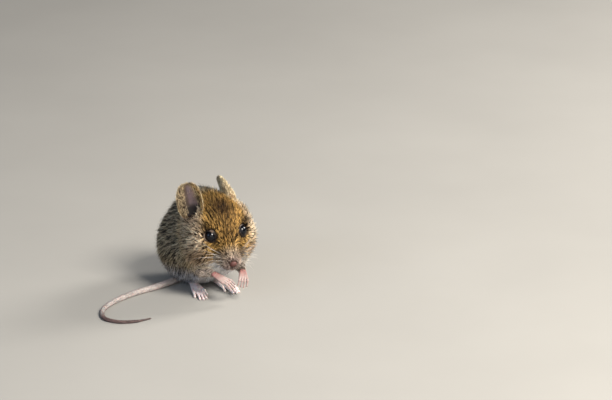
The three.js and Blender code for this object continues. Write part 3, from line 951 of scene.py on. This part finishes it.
def make_nose():
    """The bare nose pad, with a comma-shaped nostril on each side and a groove down its middle."""
    points, faces = ball_surface(64, 96)
    x, y, z = points.T
    swell = 1 - 0.16 * np.exp(-((x / 0.07) ** 2)) * smooth(0.1, -0.5, z)
    for side in SIDES.values():
        aside, low = (x - side * 0.55) / 0.2, (z + 0.12 - 0.35 * (side * x - 0.5)) / 0.13
        nostril = np.exp(-(aside**2) - low**2)
        swell -= 0.5 * nostril * smooth(0, 0.4, -y)
    shaped = points * swell[:, None] * NOSE_HALF * 0.95
    along, above = on_head(0, 1, 0) - NOSE_TIP, on_head(0, 0, 1) - NOSE_TIP
    turned = shaped @ np.stack([vec(1, 0, 0), along, above])
    bare = material("nose", 0.6, 0.45, colour("55302a"), 1500, 0.8, 1.15, (4500, 0.00005, 0.6))
    nose = new_object("nose_pad", turned + NOSE_CENTRE, faces, bare)
    weld(nose)
    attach(nose, "root")
    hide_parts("nose")


def tube_surface(line, radii, sides):
    """A closed tube along a line, with a radius at each of its points, that ends in a point."""
    tangent = unit(np.gradient(line, axis=0))
    across = unit(np.cross(tangent, vec(0.3, 0.2, 1)))
    above = np.cross(tangent, across)
    points = line[:, None] + ring_ways(across, above, sides) * np.asarray(radii)[:, None, None]
    bands = len(line) - 1
    walls = bands_of(bands, sides)[:, [0, 1, 2, 0, 2, 3]].reshape(-1, 3)
    step = np.arange(1, sides - 1)
    cap = np.stack([0 * step, step, step + 1], axis=1)
    return points.reshape(-1, 3), np.vstack([walls, cap[:, ::-1], cap + bands * sides])


def joined(surfaces):
    """Puts several surfaces in one mesh: their points, and their faces renumbered."""
    points = np.concatenate([p for p, _ in surfaces])
    starts = np.cumsum([0] + [len(p) for p, _ in surfaces[:-1]])
    return points, np.concatenate([f + start for (_, f), start in zip(surfaces, starts)])


CLAW_POINTS = 9  # along each claw
CLAW_SIDES = 6


def claw(tip, way, length, radius):
    """A short claw that leaves a digit's tip and bends down."""
    share = np.linspace(-0.35, 1, CLAW_POINTS)[:, None]
    drop = vec(0, 0, -0.28 * length) * np.maximum(share, 0) ** 2
    line = tip + unit(way) * share * length + drop
    return tube_surface(line, radius * np.sqrt(np.linspace(1, 0.02, CLAW_POINTS)), CLAW_SIDES)


def make_claws():
    horn = material("claw", 0.35, 0.45, colour("d8c4b4"), 1200, 0.8, 1.15, (3600, 0.00003, 0.6))
    paws = []
    for name in SIDES:
        for line in forepaw_lines(name):
            paws.append(claw(line[-1] + (0, 0, 0.08), line[-1] - line[-2], 0.75, 0.13))
    feet = []
    for side in SIDES.values():
        for toe in range(5):
            line = toe_line(side, toe)
            forward = (line[-1] - line[-2]) * (1, 1, 0.15)
            feet.append(claw(line[-1] + (0, 0, 0.16), forward, 0.85, 0.16))
    for name, surfaces in (("claws_forepaws", paws), ("claws_hind_feet", feet)):
        points, faces = joined(surfaces)
        points[:, 2] = np.maximum(points[:, 2], FLOOR_GAP)
        claws = new_object(name, points, faces, horn)
        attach(claws, "root")


WHISKER_ROWS = 4
WHISKER_COLUMNS = 5
WHISKER_RADIUS = 0.06
WHISKER_SIDES = 5
WHISKER_POINTS = 16  # along each whisker


def make_whiskers():
    """Stiff hairs that fan out from four rows on each whisker pad and curve back round the cheek."""
    surfaces, shades = [], []
    for side in SIDES.values():
        for row in range(WHISKER_ROWS):
            for column in range(WHISKER_COLUMNS):
                back, fall = column / (WHISKER_COLUMNS - 1), row / (WHISKER_ROWS - 1)
                root = on_head(side * 2.4, 1.8 + 2.6 * back, 0.6 - 2.6 * fall)
                root = settle(skin_field, root[None], -0.05, passes=3)[0]
                way = unit(vec(side, 0.75 * back - 0.5, 0.5 - fall) + rng.normal(0, 0.08, 3))
                length = 5 + 10 * back + 2 * rng.random()
                share = np.linspace(0, 1, WHISKER_POINTS)[:, None]
                bend = vec(-side * 0.25, 0.35, -0.14) + vec(0, 0.1, 0.05) * rng.normal(0, 0.4)
                line = root + way * share * length + bend * length * share**2
                radii = WHISKER_RADIUS * (1 - 0.85 * share[:, 0])
                surfaces.append(tube_surface(line, radii, WHISKER_SIDES))
                shades.append(np.repeat(share[:, 0], WHISKER_SIDES))
    points, faces = joined(surfaces)
    whiskers = new_object("whiskers", points, faces, COAT)
    pale = smooth(0.05, 0.45, np.concatenate(shades))
    paint(whiskers.data, mix(colour("3a302a")[None], colour("d8cfc4"), pale))
    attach(whiskers, "root")


COAT = material("coat", 0.55, 0.16, None, 420, 0.82, 1.18)
make_eyes()
make_nose()
make_claws()
make_whiskers()

# ---- The coat: tufts of hair as joined solid meshes ----

TUFT_LIMIT = 19_900  # tufts in one piece, of ten triangles each

# How the hair lies: a place, and the way that the hair points there. Out is to the side.
LIE_MIDDLE = [
    ((0, -3, 18), (0, 0.3, 0.95)),  # bridge of the nose
    ((0, -0.5, 25), (0, 0.45, 0.9)),  # forehead
    ((0, 4, 32), (0, 0.85, 0.5)),  # crown
    ((0, 12, 33), (0, 1, 0.15)),  # nape
    ((-1, 20, 34), (0, 0.95, -0.3)),  # back
    ((-1.5, 30, 26), (0, 0.5, -0.85)),
    ((-1.6, 34, 15), (0, 0.1, -1)),  # rump
    ((-1.6, 31, 6), (-0.2, -0.1, -1)),
    ((0, -1.5, 11.5), (0, 0.8, -0.5)),  # chin
    ((0, 3, 11), (0, 0.6, -0.75)),  # throat
    ((-1.6, 12, 4), (0, 0.8, -0.5)),  # belly
]
LIE_SIDES = [
    ((3, -2, 15.5), (0.5, 0.65, 0.35)),  # whisker pad
    ((6, 1, 19), (0.75, 0.6, -0.15)),  # under the eye
    ((10, 4, 21), (0.4, 0.9, -0.2)),  # cheek
    ((7, 3, 15), (0.6, 0.7, -0.35)),  # jaw
    ((6, 1.5, 28), (0.3, 0.5, 0.8)),  # over the eye
    ((9.5, 7, 27), (0.3, 0.9, 0.2)),  # between eye and ear
    ((11, 12, 22), (0.3, 0.9, -0.4)),  # neck
    ((9, 8, 14), (0.35, 0.5, -0.8)),  # shoulder
    ((13, 20, 22), (0.1, 0.75, -0.65)),  # flank
    ((15, 22, 12), (0.1, 0.5, -0.85)),
    ((13, 15, 7), (0.1, 0.2, -1)),  # thigh
    ((12, 28, 14), (-0.2, 0.5, -0.85)),
]


def lie_guides():
    guides = list(LIE_MIDDLE)
    for side in SIDES.values():
        guides += [((side * x, y, z), (side * out, back, up)) for (x, y, z), (out, back, up) in LIE_SIDES]
    for name in SIDES:
        shoulder, upper, elbow, wrist = foreleg_line(name)
        guides.append((upper, elbow - shoulder))
        guides += [(elbow + (wrist - elbow) * share, wrist - elbow) for share in (0.2, 0.6, 1.0)]
    places, ways = zip(*guides)
    return np.array(places, float), unit(np.array(ways, float))


GUIDE_PLACES, GUIDE_WAYS = lie_guides()


def lie_of_coat(points, normals):
    """The way that the hair points at each place, along the skin and parting round the eyes."""
    way = np.zeros_like(points)
    for place, guide in zip(GUIDE_PLACES, GUIDE_WAYS):
        weight = 1 / (length_of(points - place) + 0.6) ** 3.5
        way += guide * weight[:, None]
    way = unit(way)
    for side in SIDES.values():
        away = points - eye_centre(side)
        near = np.exp(-np.maximum(length_of(away) - EYE_RADIUS, 0) / 0.9)
        way = way + unit(away) * (1.6 * near)[:, None]
    return unit(way - normals * dot(way, normals)[:, None])


# On the muzzle, and what the crown and the back add to it.
HAIR_LENGTH = (0.75, 1.9, 2.2)
HAIR_WIDTH = (0.05, 0.035, 0.045)


def graded(points, amounts):
    """A measure of the hair that grows from the muzzle to the crown, and again to the back."""
    away = length_of(points - NOSE_TIP)
    muzzle, crown, back = amounts
    return muzzle + crown * smooth(2, 14, away) + back * smooth(20, 33, away)


def hair_length(points):
    """How long the hair is: shorter by the ears, the eyes and the feet, and on the forelegs."""
    length = graded(points, HAIR_LENGTH)
    ears = np.minimum(*(length_of(points - EARS[name]["base"]) for name in SIDES))
    length *= 0.4 + 0.6 * smooth(3.5, 8, ears)
    length *= 1 - 0.65 * (1 - smooth(EYE_RADIUS, EYE_RADIUS + 3.0, eye_distance(points)))
    leg = smooth(0.6, -0.4, leg_field(*points.T) - body_field(*points.T)) * smooth(15, 12, points[:, 2])
    length *= 1 - 0.45 * leg
    feet = smooth(2.2, 0.3, bare_field(*points.T))
    return length * (1 - 0.55 * feet)


def triangles_of(points, quads):
    """The skin's triangles: their corners, middles and areas."""
    corners = points[np.vstack([quads[:, :3], quads[:, [0, 2, 3]]])]
    areas = length_of(np.cross(corners[:, 1] - corners[:, 0], corners[:, 2] - corners[:, 0])) / 2
    return corners, corners.mean(axis=1), areas


REGIONS = [  # and how many tufts grow on a square millimetre there
    ("muzzle", 72),
    ("brow", 80),
    ("crown", 60),
    ("cheek_left", 68),
    ("cheek_right", 68),
    ("neck_left", 42),
    ("neck_right", 42),
    ("back", 26),
    ("flank_left", 26),
    ("flank_right", 26),
    ("rump", 22),
    ("thigh_left", 28),
    ("thigh_right", 28),
    ("belly", 16),
    ("forelegs", 50),
]
REGION = {name: i for i, (name, _) in enumerate(REGIONS)}
# Tufts in a lock, in the regions of the head and elsewhere.
LOCK_SIZES = {"muzzle": 8, "brow": 12, "crown": 12, "cheek_left": 10, "cheek_right": 10}
BODY_LOCK_SIZE = 5
LOCK_STRETCH = 0.6  # share of the distance along the hair that is left out when roots are put in locks


def region_of(points):
    """The region of the coat that each place belongs to, or -1 where no coat grows."""
    x, y, z = points.T
    back, up, ahead = head_places(points)
    away = length_of(points - NOSE_TIP)
    left = x > np.where(ahead > 0, 0, TRUNK_X)
    thigh = (np.abs(x - TRUNK_X) > 9) & (length_of((points - haunch_centre(1))[:, 1:]) < 9)
    leg = (leg_field(x, y, z) - 0.3 < body_field(x, y, z)) & (z < 14.5) & (y < 9)
    rules = [
        (leg, "forelegs"),
        ((ahead > 0) & (away < 8.5), "muzzle"),
        ((ahead > 0) & (up > -1.2) & (back < 15), "brow"),
        ((ahead > 0) & (up > -2.5) & (back >= 15), "crown"),
        ((ahead > 0) & left, "cheek_left"),
        (ahead > 0, "cheek_right"),
        ((ahead > -4.5) & left, "neck_left"),
        (ahead > -4.5, "neck_right"),
        (z > 24, "back"),
        (thigh & left, "thigh_left"),
        (thigh, "thigh_right"),
        (z < 7, "belly"),
        (y > 27, "rump"),
        (left, "flank_left"),
    ]
    region = np.full(len(points), REGION["flank_right"])
    for mask, name in reversed(rules):
        region[mask] = REGION[name]
    region[bare_field(x, y, z) < 0.25] = -1
    region[eye_distance(points) < EYE_RADIUS + 0.3] = -1
    region[length_of((points - NOSE_CENTRE) / (1.15, 1.05, 1.05)) < 1] = -1
    region[ear_hollows(x, y, z) < 0.35] = -1
    region[z < 0.3] = -1
    return region


def scattered(corners, weights, count):
    """Evenly spread places on triangles, by weight."""
    run = np.cumsum(weights)
    picks = (np.arange(count) + rng.random(count)) / count * run[-1]
    chosen = corners[np.minimum(np.searchsorted(run, picks), len(run) - 1)]
    a, b = np.sqrt(rng.random(count)), rng.random(count)
    shares = np.stack([1 - a, a * (1 - b), a * b], axis=1)
    return np.einsum("nk,nki->ni", shares, chosen)


def locks_of(roots, size, way):
    """For each root, the number of the root that leads its lock; locks are longer along the hair."""
    flow = unit(way.mean(axis=0))
    places = roots - flow * ((roots @ flow) * LOCK_STRETCH)[:, None]
    leaders = rng.choice(len(roots), max(len(roots) // size, 1), replace=False)
    tree = KDTree(len(leaders))
    for i in leaders:
        tree.insert(Vector(places[i]), int(i))
    tree.balance()
    return np.array([tree.find(Vector(place))[1] for place in places])


def wrapped(points, centre):
    """Places of points on an unwrap of the skin: their bearing from a centre inside it."""
    ways = unit(points - centre)
    middle = unit(ways.mean(axis=0))
    across = unit(np.cross(UP if abs(middle[2]) < 0.9 else vec(0, 1, 0), middle))
    above = np.cross(middle, across)
    tilt = np.arccos(np.clip(ways @ middle, -1, 1))
    flat = np.stack([ways @ across, ways @ above], axis=1)
    return flat * (tilt / np.maximum(length_of(flat), 1e-9))[:, None]


def filling(flat, box=(0, 0, 1, 1)):
    """Scales places to fill a box of the unit square, clear of its edge."""
    low, high = flat.min(axis=0), flat.max(axis=0)
    share = (flat - low) / (high - low)
    first, last = np.array(box[:2]), np.array(box[2:])
    return first + (last - first) * (0.01 + 0.98 * share)


RING = np.radians([90, 210, 330])
TUFT_FACES = [(0, 1, 2)]  # corners 0 to 2 are at the root, 3 to 5 in the middle and 6 at the tip
for a, b in ((0, 1), (1, 2), (2, 0)):
    TUFT_FACES += [(a, a + 3, b + 3), (a, b + 3, b), (a + 3, 6, b + 3)]
TUFT_FACES = np.array(TUFT_FACES)
PATCH = 0.0015  # half the width of a tuft's patch on the map


def make_coat(name, tufts, places):
    """One piece of the coat: each tuft a thin three-sided solid, bent once and pointed.

    tufts holds rows for the root, the middle, the tip, the skin's normal, the width and three tones.
    """
    root, middle, tip, normal, width, *tones = tufts
    way = unit(tip - root)
    across = unit(np.cross(way, normal))
    above = np.cross(across, way)
    rows = []
    for centre, size in ((root, 1.0), (middle, 0.8)):
        for angle in RING:
            offset = across * math.cos(angle) + above * (0.6 * math.sin(angle))
            rows.append(centre + offset * (width * size)[:, None])
    rows.append(tip)
    points = np.stack(rows, axis=1).reshape(-1, 3)
    points[:, 2] = np.maximum(points[:, 2], 2 * FLOOR_GAP)
    first = np.arange(len(root))[:, None, None] * 7
    faces = (TUFT_FACES[None] + first).reshape(-1, 3)
    coat = new_object(name, points, faces, COAT)
    tones = [tones[0]] * 3 + [tones[1]] * 3 + [tones[2]]
    paint(coat.data, np.stack(tones, axis=1).reshape(-1, 3))
    star = [(PATCH * size * math.cos(a), PATCH * size * math.sin(a)) for size in (1, 0.55) for a in RING]
    corner_places = places[:, None] + np.array([*star, (0, 0)])[None]
    flat = corner_places[:, TUFT_FACES]
    flat[:, 0] = flat[:, 0, :1]
    layer = coat.data.uv_layers.new(name="OFBake")
    layer.data.foreach_set("uv", flat.astype(np.float32).ravel())
    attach(coat, "root")


UNDERCOAT = 0.36  # share of the tufts that lie low and dark between the locks
STRAY = 0.12  # share of the tufts that stand out from the coat
ROOT_DEPTH = 0.08  # how far a tuft's root is sunk in the skin
EYE_CLEARANCE = 0.12  # how far every tuft stays from the eyeballs


def tones_of(roots, under, shared, own):
    """The colour of each tuft at its root, its middle and its tip."""
    base, tip, dark, dark_share = fur_colours(roots)
    light = ((0.7 + 0.6 * shared[3]) * (0.7 + 0.6 * own[3]))[:, None]
    is_dark = 0.5 * shared[4] + 0.5 * own[4] < 0.5 + 0.6 * (dark_share - 0.5)
    middle_tone = mix(mix(base, tip, np.full(len(roots), 0.6)) * light, dark, is_dark)
    tip_tone = mix(tip * 1.2 * light, mix(dark, tip, np.full(len(roots), 0.06)), is_dark)
    # The undercoat is painted darker than the hair near the skin: partly dark underfur, partly painted shade
    # deep between the locks.
    tones = [base * 0.35, mix(middle_tone, base * 0.5, under), mix(tip_tone, base * 0.75, under)]
    return [np.clip(tone, 0, 1) for tone in tones]


def body_tufts(roots, lock_size):
    """Tufts over the body: a low undercoat, and locks over it whose hairs run together to pale tips."""
    count = len(roots)
    normal = unit(slope_of(coat_field, roots))
    depth = coat_depth(*roots.T)
    way = lie_of_coat(roots, normal)
    lock = locks_of(roots, lock_size, way)
    own = rng.random((6, count))
    shared = rng.random((6, count))[:, lock]
    follows = lock != np.arange(count)
    under = follows & (own[5] < UNDERCOAT)
    stray = follows & (own[5] > 1 - STRAY)
    length = hair_length(roots) * (0.72 + 0.36 * shared[0] + 0.2 * own[0])
    length *= np.where(under, 0.75, np.where(stray, 1.25, 1))
    sideways = np.cross(normal, way) * (0.24 * (shared[1] - 0.5) + 0.2 * (own[1] - 0.5))[:, None]
    way = unit(way + sideways)
    middle = roots + way * (length * 0.55)[:, None]
    middle = settle(coat_field, middle, -depth * np.where(under, 0.75, 0.36 - 0.2 * shared[2]), passes=1)
    onward = unit(lie_of_coat(middle, unit(slope_of(coat_field, middle))) + sideways)
    tip = middle + onward * (length * 0.45)[:, None]
    lift = -0.14 * depth * (1 - shared[2]) + 0.12 * length * shared[2] ** 2
    stand = np.minimum(0.5 * length, 1.6) * (0.25 + 0.75 * own[2])
    lift = np.where(under, -0.5 * depth, lift) + stray * stand
    tip = settle(coat_field, tip, lift, passes=2)
    apart = roots - roots[lock]
    pull = smooth(2.6, 1.0, length_of(apart) / np.maximum(length, 0.6)) * np.where(under | stray, 0.2, 0.85)
    middle = mix(middle, middle[lock] + apart * 0.7, pull * 0.6)
    tip = mix(tip, tip[lock] + apart * 0.15, pull)
    width = graded(roots, HAIR_WIDTH) * (0.8 + 0.4 * own[4]) * np.where(stray, 0.7, 1)
    tones = tones_of(roots, under, shared, own)
    tufts = (roots - normal * ROOT_DEPTH, middle, tip, normal, width, *tones)
    clear = np.ones(count, bool)
    for place in (middle, tip, (middle + tip) / 2):
        clear &= eye_distance(place) > EYE_RADIUS + EYE_CLEARANCE
    return [part[clear] for part in tufts], roots[clear]


HEAD_CENTRE = vec(0, 7, 22)
TRUNK_CENTRE = vec(TRUNK_X, 19, 16)


def make_body_coat():
    corners, middles, areas = triangles_of(body_points, body_quads)
    region = region_of(middles)
    for name, density in REGIONS:
        inside = region == REGION[name]
        count = min(int(areas[inside].sum() * density), TUFT_LIMIT)
        roots = scattered(corners[inside], areas[inside], count)
        tufts, roots = body_tufts(roots, LOCK_SIZES.get(name, BODY_LOCK_SIZE))
        if name == "forelegs":
            left = roots[:, 0] > 0
            places = np.empty((len(roots), 2))
            for mask, side, box in ((left, "left", (0, 0, 0.5, 1)), (~left, "right", (0.5, 0, 1, 1))):
                places[mask] = filling(wrapped(roots[mask], ARMS[side]["elbow"] + vec(0, 1, 1)), box)
        else:
            places = filling(wrapped(roots, HEAD_CENTRE if name in LOCK_SIZES else TRUNK_CENTRE))
        make_coat(f"coat_{name}", tufts, places)


EAR_TUFTS = 11_000
TAIL_TUFTS = 5_000


def make_ear_coat(name, count=EAR_TUFTS):
    """Very short hair on both faces of an ear, thick along its edges and thin in its hollow."""
    leaf = ear_leaf(name)
    along = rng.random(count) ** 0.85 * 0.98
    aside = rng.random(count)
    back = np.where(rng.random(count) < 0.5, 1.0, -1.0)
    edge = np.abs(2 * aside - 1)
    rear = 0.5 + EARS_REAR[name] * (aside - 0.5)
    edges = np.maximum(smooth(0.62, 0.72, rear), smooth(0.34, 0.26, rear))
    keep = rng.random(count) < np.where(back > 0, 0.9, 0.01 + 0.99 * edges)
    along, aside, back, edge, rear = (part[keep] for part in (along, aside, back, edge, rear))
    place, outwards = leaf(along, aside)
    ahead, _ = leaf(along + 0.02, aside)
    beside, _ = leaf(along, aside + 0.02 * np.sign(aside - 0.5))
    normal = outwards * back[:, None]
    way = unit(unit(ahead - place) + unit(beside - place) * (0.7 * edge)[:, None])
    roots = place + normal * (EAR_THICKNESS * 0.4)
    length = (0.55 + 0.5 * rng.random(len(roots))) * np.where(back > 0, 1.15, 0.9)
    jitter = rng.normal(0, 0.25, roots.shape)
    way = unit(way + jitter - normal * dot(way + jitter, normal)[:, None])
    middle = roots + way * (length * 0.5)[:, None] + normal * 0.1
    tip = roots + way * length[:, None] + normal * (0.14 + 0.1 * rng.random(len(roots)))[:, None]
    clump = locks_of(roots, 6, way)
    base, pale, dark = (np.broadcast_to(FUR["ear"][i : i + 3], roots.shape) for i in (0, 3, 6))
    darkness = smooth(0.4, 0.6, 0.4 * rng.random(len(roots)) + 0.6 * rng.random(len(roots))[clump])
    # Painted light: hair on the backs of the ears is paler, brighter and has fewer dark hairs, standing in
    # for sun on them.
    base = mix(base, pale, 0.35 * (back > 0))
    darkness *= np.where(back > 0, 0.7, 1)
    front = smooth(0.3, 0.12, rear) * (back < 0)
    pale = mix(pale, FUR["brow"][3:6], 0.7 * front)
    light = (0.7 + 0.6 * rng.random(len(roots))) * np.where(back > 0, 1.45, 1 + 0.4 * front)
    light = (light * (1 - 0.45 * smooth(0.84, 0.98, along)))[:, None]
    tones = [np.clip(mix(tone * light, dark, darkness), 0, 1) for tone in (base, (base + pale) / 2, pale)]
    width = 0.042 + 0.02 * rng.random(len(roots))
    sheet = np.where(back > 0, 0.02 + 0.46 * aside, 0.52 + 0.46 * aside)
    places = np.stack([sheet, 0.02 + 0.96 * along], axis=1)
    make_coat(f"coat_ear_{name}", (roots, middle, tip, normal, width, *tones), places)


def make_tail_coat(count=TAIL_TUFTS):
    """Sparse short hair along the tail."""
    samples, bare_end = 2000, 20
    line, radius, across, above = tail_frames(samples)
    at = (rng.random(count) * (samples - 2 * bare_end) + bare_end).astype(int)
    angle = rng.random(count) * 2 * np.pi
    normal = across[at] * np.cos(angle)[:, None] + above[at] * np.sin(angle)[:, None]
    roots = line[at] + normal * (radius[at] * 0.9)[:, None]
    way = unit(np.gradient(line, axis=0))[at]
    length = 0.5 + 0.4 * rng.random(count)
    stand = normal * np.minimum(0.16, 0.3 * radius[at])[:, None]
    middle = roots + way * (length * 0.5)[:, None] + stand * 0.75
    tip = roots + way * length[:, None] + stand
    tone = colour("8a7c7c") * ((0.7 + 0.6 * rng.random(count)) * (1 - 0.6 * tail_end_share(roots)))[:, None]
    width = np.full(count, 0.035)
    places = np.stack([0.01 + 0.98 * at / samples, 0.02 + 0.96 * angle / (2 * np.pi)], axis=1)
    make_coat("coat_tail", (roots, middle, tip, normal, width, tone * 0.8, tone, tone * 1.15), places)


make_body_coat()
for name in SIDES:
    make_ear_coat(name)
make_tail_coat()

# ---- Stage, camera and lights ----

CAMERA_BEARING = (-27, 20)  # degrees round from the mouse's front, and above the floor
CAMERA_DISTANCE = 1.0  # metres
FRAME_SIZE = (612, 400)
PIXELS_PER_MM = 2.9
BROW = vec(0, 0, 24.5)  # the place between the eyes
BROW_PIXEL = (227, 232.75)
SENSOR = 36


def bearing(azimuth, elevation):
    """The way from the mouse to a place round it, in degrees round from its front and above the floor."""
    a, e = math.radians(azimuth), math.radians(elevation)
    return Vector((math.sin(a) * math.cos(e), -math.cos(a) * math.cos(e), math.sin(e)))


def put(name, data, place, turn):
    """An object of the scene at a place, turned by a quaternion."""
    made = bpy.data.objects.new(name, data)
    made.location = place
    made.rotation_mode = "QUATERNION"
    made.rotation_quaternion = turn
    bpy.context.scene.collection.objects.link(made)
    return made


def make_camera():
    back = bearing(*CAMERA_BEARING)
    turn = (-back).to_track_quat("-Z", "Y")
    right, up = turn @ Vector((1, 0, 0)), turn @ Vector((0, 1, 0))
    aside = (FRAME_SIZE[0] / 2 - BROW_PIXEL[0]) / PIXELS_PER_MM * MM
    above = (BROW_PIXEL[1] - FRAME_SIZE[1] / 2) / PIXELS_PER_MM * MM
    target = Vector(to_row(BROW)) + right * aside + up * above
    data = bpy.data.cameras.new("camera")
    data.sensor_width = SENSOR
    data.lens = SENSOR * PIXELS_PER_MM / MM * CAMERA_DISTANCE / FRAME_SIZE[0]
    data.clip_start = 0.01
    bpy.context.scene.camera = put("camera", data, target + back * CAMERA_DISTANCE, turn)


LIT_PLACE = vec(-6, 12, 15)  # that the lights point to


def make_light(name, azimuth, elevation, distance, size, power, tint):
    back = bearing(azimuth, elevation)
    data = bpy.data.lights.new(name, "AREA")
    data.size = size
    data.energy = power
    data.color = tint
    place = Vector(to_row(LIT_PLACE)) + back * distance
    put(name, data, place, back.to_track_quat("Z", "Y"))


def make_stage():
    floor_material = material("floor", 0.85, 0.2, (0.3, 0.29, 0.27), 14, 0.97, 1.03)
    mesh = bpy.data.meshes.new("floor")
    reach = 3.0
    square = [(-reach, -reach, 0), (reach, -reach, 0), (reach, reach, 0), (-reach, reach, 0)]
    mesh.from_pydata(square, [], [(0, 1, 2, 3)])
    mesh.materials.append(floor_material)
    floor = bpy.data.objects.new("floor", mesh)
    bpy.context.scene.collection.objects.link(floor)
    world = bpy.data.worlds.new("studio")
    world.use_nodes = True
    background = world.node_tree.nodes["Background"]
    background.inputs["Color"].default_value = (0.85, 0.88, 0.95, 1)
    background.inputs["Strength"].default_value = 0.22
    bpy.context.scene.world = world
    make_light("key", 18, 46, 0.7, 0.25, 8.6, (1, 0.95, 0.87))
    make_light("fill", -80, 28, 0.8, 0.35, 1.3, (0.5, 0.7, 1))
    make_light("bounce", -10, 6, 0.8, 0.9, 4, (1, 0.98, 0.96))
    make_light("rim", 92, 30, 0.7, 0.2, 5, (1, 0.96, 0.9))
    bpy.context.scene.view_settings.view_transform = "Standard"


make_camera()
make_stage()


def corners(box):
    return [list(corner) for corner in box]
